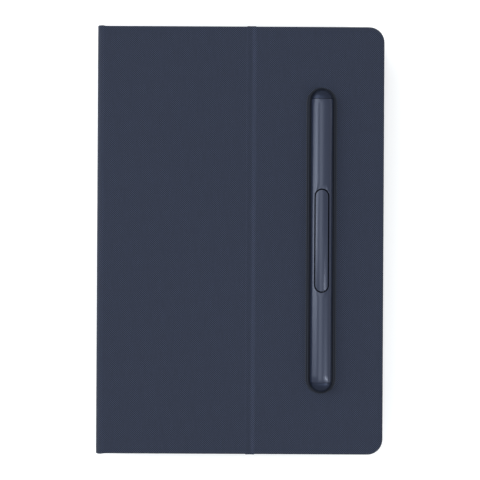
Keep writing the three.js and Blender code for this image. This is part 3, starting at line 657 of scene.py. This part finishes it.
def build_spine():
    """The spine's cloth, and the two bends that join it to the panels."""
    spine = cloth_panel("cover_spine", LOWER_HINGE_Z, UPPER_HINGE_Z, SPINE_HALF, 0,
                        SPINE_LOW.x, SPINE_HIGH.x, spine_cloth, upright)
    place(spine, "spine", "woven_cover", "spine_fabric")

    upper = bend_section(UPPER_HINGE_Z, 90)
    turned = [math.atan2(z - UPPER_HINGE_Z, x - HINGE_X) - math.pi / 2 for x, z in upper]
    piece = swept_cloth("cover_upper_bend", upper, SPINE_HALF, [HINGE_X - PANEL * t for t in turned])
    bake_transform(piece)
    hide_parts("upper_hinge_strip")

    lower = bend_section(LOWER_HINGE_Z, 180)
    turned = [math.atan2(z - LOWER_HINGE_Z, x - HINGE_X) % (2 * math.pi) - math.pi for x, z in lower]
    start = HINGE_X - BEND_LENGTH - SPINE_HEIGHT
    piece = swept_cloth("cover_lower_bend", lower, SPINE_HALF, [start - PANEL * t for t in turned])
    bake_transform(piece)
    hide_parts("lower_hinge_strip")


CREASE_DEPTH = 0.2 * MM
CREASE_LOWEST = 0.55  # share of the way across at which the sunk cloth is lowest
CREASE_BULGE = 0.1 * MM
CREASE_UNDER = 0.15 * MM  # the filling ends this far above the panels' inner side
CREASE_STEPS = 20


def build_crease():
    """The cloth sinks a little into the space between the two boards, and bulges at its ends."""
    x0 = HOLDER_HIGH.x
    x1 = FLAP_LOW.x

    def level(share):
        """The cloth's height at a share of the way across the crease."""
        down = share / CREASE_LOWEST if share < CREASE_LOWEST else (1 - share) / (1 - CREASE_LOWEST)
        return COVER_TOP - CREASE_DEPTH * down * down * (3 - 2 * down)

    shares = [i / CREASE_STEPS for i in range(CREASE_STEPS + 1)]
    section = [(x0 + (x1 - x0) * s, level(s)) for s in shares]
    section += [(x0 + (x1 - x0) * s, FLAP_LOW.z + CREASE_UNDER) for s in reversed(shares)]
    on_cloth = [x for x, _ in section]
    half = COVER_HALF + CREASE_BULGE
    # The crease's canvas has a painted highlight on its right wall
    piece = swept_cloth("cover_crease", section, half, on_cloth, CREASE_HIGHLIGHT_CANVAS)
    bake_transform(piece)
    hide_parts("flap_crease_strip")


# ---- linings

LINING_GAP = 0.1 * MM
LINING_EDGE = TURN_IN + LINING_GAP
SEAM_INSET = 3.0 * MM  # a line pressed into the lining, parallel to its edge
SEAM_DEPTH = 0.14 * MM
# Across that line: distance from its middle in mm, and share of its depth
SEAM_PROFILE = ((-0.35, 0), (-0.15, 0.8), (0.0, 1), (0.15, 0.8), (0.35, 0))
# Rings of a lining's softened edge: inset, and distance below its face, in mm
LINING_RINGS = ((0.0, 0.22), (0.06, 0.07), (0.22, 0.0))
LINING_BACK = 0.1 * MM
FOLD_END_ROUND = 0.3 * MM  # radius of a lining's corners beside a fold
SPINE_LINING_GAP = 0.3 * MM
WINDOW_MARGIN = 0.3 * MM  # between the keyboard and the edge of the lining round it
WINDOW_ROUND = 5 * MM


def lining_rings(back, face):
    """Rings of a lining from the side on its board to the face that shows."""
    out = 1 if face > back else -1
    rings = [(LINING_BACK, back), (0.0, back + out * LINING_BACK)]
    rings += [(inset * MM, face - out * drop * MM) for inset, drop in LINING_RINGS]
    rings += [(SEAM_INSET + step * MM, face - out * depth * SEAM_DEPTH) for step, depth in SEAM_PROFILE]
    return rings


def lining(name, node, body, low, high, back, face, end_radius, turn=Vector):
    """A lining between two corners, standing for a CAD node."""
    points, faces = [], []
    add_stack(points, faces, low, high, lining_rings(back, face), end_radius, FOLD_END_ROUND, turn)
    piece = mesh_object(name, points, faces, LINING)
    place(piece, body, "soft_lining", node)
    return piece


def build_linings():
    """The linings of both panels, the flap, the spine and its folds."""
    half = COVER_HALF - LINING_EDGE
    radius = CORNER - LINING_EDGE
    start = HINGE_X + LINING_EDGE
    end = BASE_HIGH.x - LINING_EDGE
    board_top = BASE_HIGH.z - TURN_IN_DEPTH
    base = lining("back_lining", "base_lining", "keyboard_base",
                  (start, -half), (end, half), board_top, BASE_HIGH.z, radius)
    points, faces = [], []
    add_stack(points, faces, (KEYBOARD_LOW.x - WINDOW_MARGIN, KEYBOARD_LOW.y - WINDOW_MARGIN),
              (KEYBOARD_HIGH.x + WINDOW_MARGIN, KEYBOARD_HIGH.y + WINDOW_MARGIN),
              [(0, 0), (0, KEYBOARD_HIGH.z)], WINDOW_ROUND)
    cut(base, mesh_object("keyboard_window", points, faces, LINING))
    tidy_faces(base)

    bottom = HOLDER_LOW.z
    lining("front_lining", "holder_lining", "tablet_holder", (start, -half),
           (HOLDER_HIGH.x - LINING_EDGE, half), bottom + TURN_IN_DEPTH, bottom, FOLD_END_ROUND)
    lining("flap_inner_lining", "flap_lining", "stand_flap", (FLAP_LOW.x + LINING_EDGE, -half),
           (end, half), bottom + TURN_IN_DEPTH, bottom, radius)

    half = SPINE_HALF - LINING_EDGE
    lining("spine_inner_lining", "spine_lining", "spine",
           (LOWER_HINGE_Z + SPINE_LINING_GAP, -half), (UPPER_HINGE_Z - SPINE_LINING_GAP, half),
           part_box("spine_board")[1].x, SPINE_HIGH.x, FOLD_END_ROUND, upright)
    build_fold_linings()


FOLD_REACH = 2.4 * MM
FOLD_CLOTH = 0.2 * MM
FOLD_TURN = 0.8 * MM  # radius of the lining's turn
FOLD_STRAIGHT = 1.6 * MM
FOLD_HOLD = 2.0 * MM  # two points this far from the fold's corner are worked out, and nothing uses them
FOLD_STEPS = 8


def build_fold_linings():
    """Narrow strips of lining carry on over the inside of the two spine folds."""
    for name, hinge_z, up, bodies in (
        ("lower_fold_lining", LOWER_HINGE_Z, 1, ("keyboard_base", "spine")),
        ("upper_fold_lining", UPPER_HINGE_Z, -1, ("spine", "tablet_holder")),
    ):
        corner_x, corner_z = SPINE_HIGH.x, hinge_z
        sides = []
        for off in (0.0, FOLD_CLOTH):
            side = [(corner_x + off, corner_z + up * reach) for reach in (FOLD_REACH, FOLD_STRAIGHT)]
            side += [(corner_x + FOLD_TURN + x, corner_z + up * (FOLD_TURN + z))
                     for x, z in arc((0, 0), FOLD_TURN - off, 180, 270, FOLD_STEPS)]
            sides.append(side + [(corner_x + FOLD_REACH, corner_z + up * off)])
        section = sides[0] + sides[1][::-1]
        strip = swept_cloth(name, section, COVER_HALF - LINING_EDGE, [x + z for x, z in section], LINING)
        ends = [(corner_x, 0, corner_z + up * FOLD_HOLD), (corner_x + FOLD_HOLD, 0, corner_z)]
        if bodies[0] == "keyboard_base":
            ends.reverse()
        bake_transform(strip)


# ---- capsule shapes

ROUND_STEPS = 16
SIDE_STEPS = 20


def capsule(width, length):
    """Points round a long oval with round ends, along Y, about the stylus's middle line."""
    radius = width / 2
    straight = length / 2 - radius
    way = [2 * straight * i / SIDE_STEPS for i in range(1, SIDE_STEPS)]
    top = arc((STYLUS_X, straight), radius, 0, 180, ROUND_STEPS)
    left = [(STYLUS_X - radius, straight - y) for y in way]
    bottom = arc((STYLUS_X, -straight), radius, 180, 360, ROUND_STEPS)
    right = [(STYLUS_X + radius, -straight + y) for y in way]
    return top + left + bottom + right


def capsule_block(name, width, length, bottom, top, material=GARAGE_PLASTIC):
    """A solid capsule between two levels."""
    outline = capsule(width, length)
    count = len(outline)
    points = [(x, y, z) for z in (bottom, top) for x, y in outline]
    faces = ring_faces(2, count) + [tuple(range(count)), tuple(range(count, 2 * count))]
    return mesh_object(name, points, faces, material)


# ---- stylus garage

GARAGE_FLOOR = 0.4 * MM
MOUTH_WIDTH = 11.7 * MM
MOUTH_LENGTH = 148.4 * MM
LEDGE_WIDTH = 10.8 * MM  # a ledge just inside the mouth leaves the stylus a running gap
LEDGE_LENGTH = 147.8 * MM
LEDGE_DROP = 0.1 * MM
LEDGE_ROUND = 0.1 * MM
RIM_UNDER = 0.6 * MM  # this far below the cloth's face the rim has come in again,
RIM_IN = 0.8  # by this share of the way to the tray
# Across the rim, from the mouth of the tray to the cloth: share of the way, rise above the cloth in mm
RIM_PROFILE = (
    (0.00, -0.09), (0.01, -0.03), (0.05, 0.14), (0.13, 0.26), (0.22, 0.24), (0.30, 0.06), (0.38, -0.14),
    (0.46, -0.12), (0.54, 0.02), (0.64, 0.10), (0.74, 0.08), (0.84, 0.00), (0.93, -0.06), (1.00, -0.3),
)


def build_garage():
    """A dished rim round a capsule-shaped tray. At the ends the two beads of the rim run together."""
    mouth = capsule(MOUTH_WIDTH, MOUTH_LENGTH)
    outside = capsule(RIM_EDGE_WIDTH, RIM_EDGE_LENGTH)
    ledge = capsule(LEDGE_WIDTH, LEDGE_LENGTH)
    foot = [Vector(p) for p in capsule(TRAY_HIGH.x - TRAY_LOW.x, TRAY_HIGH.y - TRAY_LOW.y)]
    count = len(mouth)
    rows = []
    for share, rise in RIM_PROFILE:
        rows.append([(*Vector(a).lerp(Vector(b), share), COVER_TOP + rise * MM)
                     for a, b in zip(mouth, outside)])
    inside = [(x, y, TRAY_LOW.z + GARAGE_FLOOR) for x, y in ledge]
    inside += [(x, y, COVER_TOP - LEDGE_DROP - LEDGE_ROUND) for x, y in ledge]
    under = [(*Vector(b).lerp(f, RIM_IN), COVER_TOP - RIM_UNDER) for b, f in zip(outside, foot)]
    bottom = [(*p, TRAY_LOW.z) for p in foot]
    points = inside + [p for row in rows for p in row] + under + bottom
    total = len(points) // count
    faces = ring_faces(total, count)
    faces += [tuple(range(count)), tuple(range((total - 1) * count, total * count))]
    garage = mesh_object("stylus_garage", points, faces, GARAGE_PLASTIC)
    place(garage, "stand_flap", "garage_plastic", "garage_tray", "garage_rim")


# ---- stylus

HALF_WIDTH = (BARREL_HIGH.x - BARREL_LOW.x) / 2
HALF_HEIGHT = (BARREL_HIGH.z - BARREL_LOW.z) / 2
HALF_LENGTH = END_HIGH.y
SEAM_SHIFT = 0.8 * MM  # the domes reach this far up the barrel
SEAM = END_LOW.y - SEAM_SHIFT
SECTION_POWER = 2.35  # 2 is an ellipse; more is squarer
SECTION_STEPS = 48


def section_at(y, shrink):
    """The stylus's section at a place along it: round ends in plan, and domes in the side view."""
    past = max(0.0, abs(y) - (HALF_LENGTH - HALF_WIDTH))
    width = math.sqrt(max(0.0, HALF_WIDTH**2 - past**2))
    past = min(1.0, max(0.0, (abs(y) - SEAM) / (HALF_LENGTH - SEAM)))
    height = HALF_HEIGHT * math.sqrt(1 - past**2)
    points = []
    for i in range(SECTION_STEPS):
        turn = 2 * math.pi * i / SECTION_STEPS
        c, s = math.cos(turn), math.sin(turn)
        x = math.copysign(abs(c) ** (2 / SECTION_POWER), c) * (width - shrink)
        z = math.copysign(abs(s) ** (2 / SECTION_POWER), s) * (height - shrink)
        points.append((STYLUS_X + x, y, STYLUS_Z + z))
    return points


def lofted(name, stations, material):
    """A closed body through the stylus's sections at (place, shrink)."""
    points = [p for y, shrink in stations for p in section_at(y, shrink)]
    faces = ring_faces(len(stations), SECTION_STEPS)
    first = tuple(range(SECTION_STEPS))
    last = tuple((len(stations) - 1) * SECTION_STEPS + i for i in range(SECTION_STEPS))
    return mesh_object(name, points, faces + [first, last], material)


GROOVE = 0.62 * MM  # the gap round the button
GROOVE_DEPTH = 2.2 * MM
GROOVE_ROUND = 0.12 * MM
BUTTON_WIDTH = BUTTON_HIGH.x - BUTTON_LOW.x
BUTTON_LENGTH = BUTTON_HIGH.y - BUTTON_LOW.y
BUTTON_DEPTH = 1.5 * MM
BUTTON_ROUND = 0.28 * MM
STYLUS_SHARP = 40  # degrees
BARREL_EDGE = 0.07 * MM
BARREL_STEPS = 40
DOME_EDGE = 0.05 * MM
DOME_FLAT = 0.01 * MM  # the last section of a dome stops this short of its end, where it would be a point
DOME_STEPS = 14


def build_stylus():
    """The barrel with its groove, the button in it, and the two domes."""
    end = BARREL_HIGH.y - SEAM_SHIFT
    rounding = [(0.0, BARREL_EDGE), (0.4 * BARREL_EDGE, 0.3 * BARREL_EDGE), (BARREL_EDGE, 0.0)]
    stations = [(-end + y, shrink) for y, shrink in rounding]
    stations += [(-end + 2 * end * i / BARREL_STEPS, 0.0) for i in range(1, BARREL_STEPS)]
    stations += [(end - y, shrink) for y, shrink in reversed(rounding)]
    barrel = lofted("stylus_body", stations, LACQUER)
    # The pocket's new walls and floor take the near-black painted shade of the groove
    pocket = capsule_block("pocket", BUTTON_WIDTH + 2 * GROOVE, BUTTON_LENGTH + 2 * GROOVE,
                           BARREL_HIGH.z - GROOVE_DEPTH, BARREL_HIGH.z + PANEL, GROOVE_PAINTED_SHADE)
    cut(barrel, pocket)
    apply_modifiers(bevel(barrel, GROOVE_ROUND, 2, STYLUS_SHARP))
    tidy_faces(barrel)
    place(barrel, "stylus", "stylus_lacquer", "stylus_barrel")

    button = lofted("stylus_side_button", [(-end / 2, 0.0), (0.0, 0.0), (end / 2, 0.0)], LACQUER)
    keep = capsule_block("keep", BUTTON_WIDTH, BUTTON_LENGTH,
                         BARREL_HIGH.z - BUTTON_DEPTH, BARREL_HIGH.z + PANEL)
    cut(button, keep, "INTERSECT", "INDEX")
    apply_modifiers(bevel(button, BUTTON_ROUND, 3, STYLUS_SHARP))
    tidy_faces(button)
    place(button, "stylus_button", "stylus_lacquer", "stylus_button")

    for name, node, side in (("stylus_end_dome", "stylus_end_cap", 1), ("stylus_tip", "stylus_tip_dome", -1)):
        stations = [(side * SEAM, DOME_EDGE), (side * (SEAM + DOME_EDGE), 0.0)]
        for i in range(1, DOME_STEPS):
            share = math.sin(math.pi / 2 * i / DOME_STEPS)
            stations.append((side * (SEAM + (HALF_LENGTH - SEAM) * share), 0.0))
        stations.append((side * (HALF_LENGTH - DOME_FLAT), 0.0))
        place(lofted(name, stations, DOME_GLOSS), "stylus", "stylus_gloss", node)


# ---- keyboard

FLANGE_INSET = 0.25 * MM
CAP_INSET = 1.1 * MM
CAP_RADIUS = 1.6 * MM
FLANGE = 0.6 * MM
FLANGE_EDGE = 0.1 * MM
FLANGE_RADIUS = 0.5 * MM
# Rings of a cap from under the deck to the middle of its dished top: inset from the cap's foot, and
# distance below the highest edge, in mm
CAP_RINGS = (
    (0.0, 2.9), (0.10, 2.0), (0.30, 0.7), (0.36, 0.35), (0.44, 0.14), (0.58, 0.03), (0.78, 0.0),
    (1.2, 0.03), (1.8, 0.08), (2.5, 0.13), (3.2, 0.16),
)
LETTER_SIZE = 4.4 * MM
WORD_SIZE = 2.9 * MM
LEGEND_RISE = 0.05 * MM
DISH = 0.16 * MM
ARROW = ((-1.3 * MM, -0.9 * MM), (1.3 * MM, -0.9 * MM), (0, 1.3 * MM))
ARROWS = {"left": -90, "up": 0, "down": 180, "right": 90}
# Every group of keys: its legends in order along Y, and the width of its first key, in units of the others
KEY_GROUPS = {
    "escape_key": (["esc"], 1),
    "function_keys": ([f"F{i}" for i in range(1, 13)], 1),
    "delete_key": (["del"], 1),
    "number_keys": (list("`1234567890-="), 1),
    "backspace_key": (["back"], 1),
    "tab_key": (["tab"], 1),
    "upper_letter_keys": (list("QWERTYUIOP[]\\"), 1),
    "caps_lock_key": (["caps"], 1),
    "home_letter_keys": (list("ASDFGHJKL;'"), 1),
    "enter_key": (["enter"], 1),
    "left_shift_key": (["shift"], 1),
    "lower_letter_keys": (list("ZXCVBNM,./"), 1),
    "right_shift_key": (["shift"], 1),
    "left_modifier_keys": (["ctrl", "fn", "menu", "alt"], 1.25),
    "space_bar": ([""], 1),
    "right_modifier_keys": (["alt", "left", "up", "down", "right"], 1),
}


def key_cells(node, legends, first_width):
    """(low Y, high Y) of each key of a group, and the group's range in X."""
    low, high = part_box(node)
    x0, x1 = low.x - FLANGE_INSET, high.x + FLANGE_INSET
    y = low.y - FLANGE_INSET
    unit = (high.y + FLANGE_INSET - y) / (len(legends) - 1 + first_width)
    cells = []
    for i in range(len(legends)):
        width = unit * (first_width if i == 0 else 1)
        cells.append((y, y + width))
        y += width
    return x0, x1, cells


def flat_mark(work, outline, x, y, z, turn):
    """Adds a thin printed shape, drawn upright for someone facing -X, to the mesh being built."""
    angle = math.radians(turn + 90)
    low = [work.verts.new((x + px * math.cos(angle) - py * math.sin(angle),
                           y + px * math.sin(angle) + py * math.cos(angle), z)) for px, py in outline]
    high = [work.verts.new(v.co + Vector((0, 0, LEGEND_RISE))) for v in low]
    count = len(outline)
    work.faces.new(low[::-1])
    work.faces.new(high)
    for i in range(count):
        j = (i + 1) % count
        work.faces.new((low[i], low[j], high[j], high[i]))


def lettering(work, words, x, y, z):
    """Adds a legend's letters to the mesh being built."""
    curve = bpy.data.curves.new("legend", "FONT")
    curve.body = words
    curve.size = LETTER_SIZE if len(words) == 1 else WORD_SIZE
    curve.extrude = LEGEND_RISE / 2
    curve.resolution_u = 3
    curve.align_x = "CENTER"
    curve.align_y = "CENTER"
    text = bpy.data.objects.new("legend", curve)
    mesh = bpy.data.meshes.new_from_object(text)
    mesh.transform(Matrix.Translation((x, y, z + LEGEND_RISE / 2)) @ Matrix.Rotation(math.pi / 2, 4, "Z"))
    work.from_mesh(mesh)
    bpy.data.objects.remove(text)
    bpy.data.curves.remove(curve)
    bpy.data.meshes.remove(mesh)


def build_keys():
    """Every group's caps as one piece on its flange, and their printed legends as another."""
    for node, (legends, first_width) in KEY_GROUPS.items():
        low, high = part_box(node)
        x0, x1, cells = key_cells(node, legends, first_width)
        points, faces = [], []
        flange = [(FLANGE_EDGE, low.z), (0, low.z + FLANGE_EDGE), (0, low.z + FLANGE)]
        add_stack(points, faces, low, high, flange, FLANGE_RADIUS)
        marks = bmesh.new()
        for (y0, y1), words in zip(cells, legends):
            rings = [(inset * MM, high.z - below * MM) for inset, below in CAP_RINGS]
            add_stack(points, faces, (x0 + CAP_INSET, y0 + CAP_INSET), (x1 - CAP_INSET, y1 - CAP_INSET),
                      rings, CAP_RADIUS)
            middle = ((x0 + x1) / 2, (y0 + y1) / 2, high.z - DISH - LEGEND_RISE / 4)
            if words in ARROWS:
                flat_mark(marks, ARROW, *middle, -ARROWS[words])
            elif words:
                lettering(marks, words, *middle)
        caps = mesh_object(node + "_caps", points, faces, KEY_PLASTIC)
        place(caps, node, "key_plastic", node)
        if marks.verts:
            mesh = bpy.data.meshes.new(node + "_legends")
            marks.to_mesh(mesh)
            mesh.materials.append(LEGEND_INK)
            place(new_object(node + "_legends", mesh), node, "key_plastic")
        marks.free()


def build_keyboard():
    """The keyboard's body, socket, light and switch, and its keys."""
    refined("keyboard_lower_shell", "keyboard_case", "keyboard_base", "keyboard_plastic", DECK_PLASTIC,
            0.3 * MM, 3)
    refined("keyboard_deck", "keyboard_top_plate", "keyboard_base", "keyboard_plastic", DECK_PLASTIC,
            0.18 * MM)
    refined("power_switch", "switch_knob", "power_switch", "key_plastic", KEY_PLASTIC, 0.2 * MM)
    refined("charging_socket", "socket_can", "keyboard_base", "plated_steel", STEEL, 0.12 * MM)
    refined("status_light_pipe", "status_light", "keyboard_base", "light_pipe", PIPE, 0.15 * MM)
    build_socket_tongue()
    build_keys()


TONGUE_HALF_WIDTH = 2.9 * MM
TONGUE_HALF_HEIGHT = 0.35 * MM
TONGUE_EDGE = 0.1 * MM
TONGUE_RADIUS = 0.4 * MM
TONGUE_BACK = 0.6 * MM  # from the socket's closed end
TONGUE_FRONT = 0.8 * MM  # from the socket's mouth
CONTACTS = 6
CONTACT_PITCH = 0.85 * MM
CONTACT_HALF_WIDTH = 0.2 * MM
CONTACT_INSET = 0.2 * MM  # from both ends of the tongue
CONTACT_RADIUS = 0.1 * MM
# Rings of a contact: inset, and height above the tongue, in mm
CONTACT_RINGS = ((0, -0.03), (0, 0.03), (0.04, 0.05))


def build_socket_tongue():
    """The tongue with its row of contacts in the middle of the charging socket."""
    low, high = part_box("charging_socket")
    middle = (low + high) / 2
    front, back = low.y + TONGUE_FRONT, high.y - TONGUE_BACK
    under, top = middle.z - TONGUE_HALF_HEIGHT, middle.z + TONGUE_HALF_HEIGHT
    points, faces = [], []
    add_stack(points, faces, (middle.x - TONGUE_HALF_WIDTH, front), (middle.x + TONGUE_HALF_WIDTH, back),
              [(TONGUE_EDGE, under), (0, under + TONGUE_EDGE), (0, top - TONGUE_EDGE), (TONGUE_EDGE, top)],
              TONGUE_RADIUS)
    tongue = mesh_object("socket_tongue", points, faces, KEY_PLASTIC)
    place(tongue, "keyboard_base", "key_plastic")
    points, faces = [], []
    for i in range(CONTACTS):
        x = middle.x + (i - (CONTACTS - 1) / 2) * CONTACT_PITCH
        add_stack(points, faces, (x - CONTACT_HALF_WIDTH, front + CONTACT_INSET),
                  (x + CONTACT_HALF_WIDTH, back - CONTACT_INSET),
                  [(inset * MM, top + rise * MM) for inset, rise in CONTACT_RINGS], CONTACT_RADIUS)
    contacts = mesh_object("socket_contacts", points, faces, GOLD)
    place(contacts, "keyboard_base", "plated_steel")


# ---- tablet shell


def build_shell():
    """The tray that holds the tablet."""
    refined("tablet_shell", "tablet_tray", "tablet_holder", "shell_plastic", SHELL_PLASTIC, 0.45 * MM, 3)


# ---- carried-over CAD nodes

CARRIED = {
    "base_board": GREYBOARD,
    "spine_board": GREYBOARD,
    "holder_board": GREYBOARD,
    "flap_board": GREYBOARD,
    "rubber_dome_sheet": DOME_RUBBER,
    "contact_film": FILM,
    "keyboard_circuit_board": RESIN,
    "stylus_circuit_board": RESIN,
    "keyboard_battery": FOIL,
    "stylus_battery": FOIL,
    "shell_steel_strip": STEEL,
    "garage_steel_strip": STEEL,
}
CARRIED_EDGE = 0.15 * MM
CARRIED_SHARP = 35  # degrees


def finish_cad_nodes():
    """Every CAD node that still shows gets softened edges and its material, the magnets nickel."""
    for name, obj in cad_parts.items():
        if obj.hide_render:
            continue
        material = CARRIED.get(name, NICKEL)
        obj.data.materials.clear()
        obj.data.materials.append(material)
        bevel(obj, CARRIED_EDGE, 2, CARRIED_SHARP)


# ---- stage, light and camera

FLOOR_HALF = 3.0
FLOOR_LEVEL = -0.1 * MM  # just clear of the cloth, so that the two faces never share a plane
FLOOR_TONE = (0.93, 0.93, 0.93)
FLOOR_GLOW = 0.25
SKY = 0.6
COOL = (0.92, 0.97, 1.0)


def area_light(name, where, aim, width, height, power):
    """A rectangular light at a place, pointed at another. Power is in watts."""
    data = bpy.data.lights.new(name, "AREA")
    data.shape = "RECTANGLE"
    data.size = width
    data.size_y = height
    data.energy = power
    data.color = COOL
    light = new_object(name, data)
    light.location = where
    light.rotation_euler = (Vector(aim) - Vector(where)).to_track_quat("-Z", "Y").to_euler()


def build_stage():
    """The floor, the sky and the lights."""
    half = FLOOR_HALF
    points = [(x, y, FLOOR_LEVEL) for x, y in ((-half, -half), (half, -half), (half, half), (-half, half))]
    n = Nodes("pale_floor")
    speck = n.noise(n.coordinates(), 300.0, 2.0)
    n.set(Base_Color=n.brightened(FLOOR_TONE, n.spread(speck, 0.99, 1.0)), Roughness=0.9)
    n.set(Specular_IOR_Level=0.1, Emission_Color=(1, 1, 1, 1), Emission_Strength=FLOOR_GLOW)
    floor = mesh_object("floor", points, [(0, 1, 2, 3)], n.material, smooth=False)

    world = bpy.data.worlds.new("studio")
    world.use_nodes = True
    background = world.node_tree.nodes["Background"]
    background.inputs[0].default_value = (1.0, 1.0, 1.0, 1)
    background.inputs[1].default_value = SKY
    bpy.context.scene.world = world

    area_light("key", (-0.75, 0.55, 0.95), (0, 0, 0), 1.0, 1.0, 8)
    area_light("left_strip", (-0.80, 0.0, 0.60), (0, 0, 0.02), 0.12, 1.3, 3.2)
    area_light("overhead_strip", (-0.02, 0.0, 1.60), (-0.02, 0, 0), 0.38, 1.6, 4.2)
    area_light("right_strip", (0.51, -0.29, 0.62), (0.04, -0.1, 0.02), 0.045, 0.5, 2.2)


PICTURE_WIDTH = 235.0 * MM  # what the picture spans at the level of the cover
CAMERA_HEIGHT = 0.8  # above the cover
CAMERA_X = -0.05 * MM
CAMERA_Y = 0.12 * MM
ROLL = 0.31  # degrees


def build_camera():
    """A camera that looks straight down on the closed case."""
    data = bpy.data.cameras.new("camera")
    data.sensor_width = 36
    data.lens = data.sensor_width * CAMERA_HEIGHT / PICTURE_WIDTH
    camera = new_object("camera", data)
    camera.location = (CAMERA_X, CAMERA_Y, COVER_TOP + CAMERA_HEIGHT)
    camera.rotation_euler = (0, 0, math.radians(ROLL))
    bpy.context.scene.camera = camera


bpy.context.scene.view_settings.view_transform = "Standard"
build_camera()
build_cover()
build_linings()
build_garage()
build_stylus()
build_keyboard()
build_shell()
finish_cad_nodes()
build_stage()
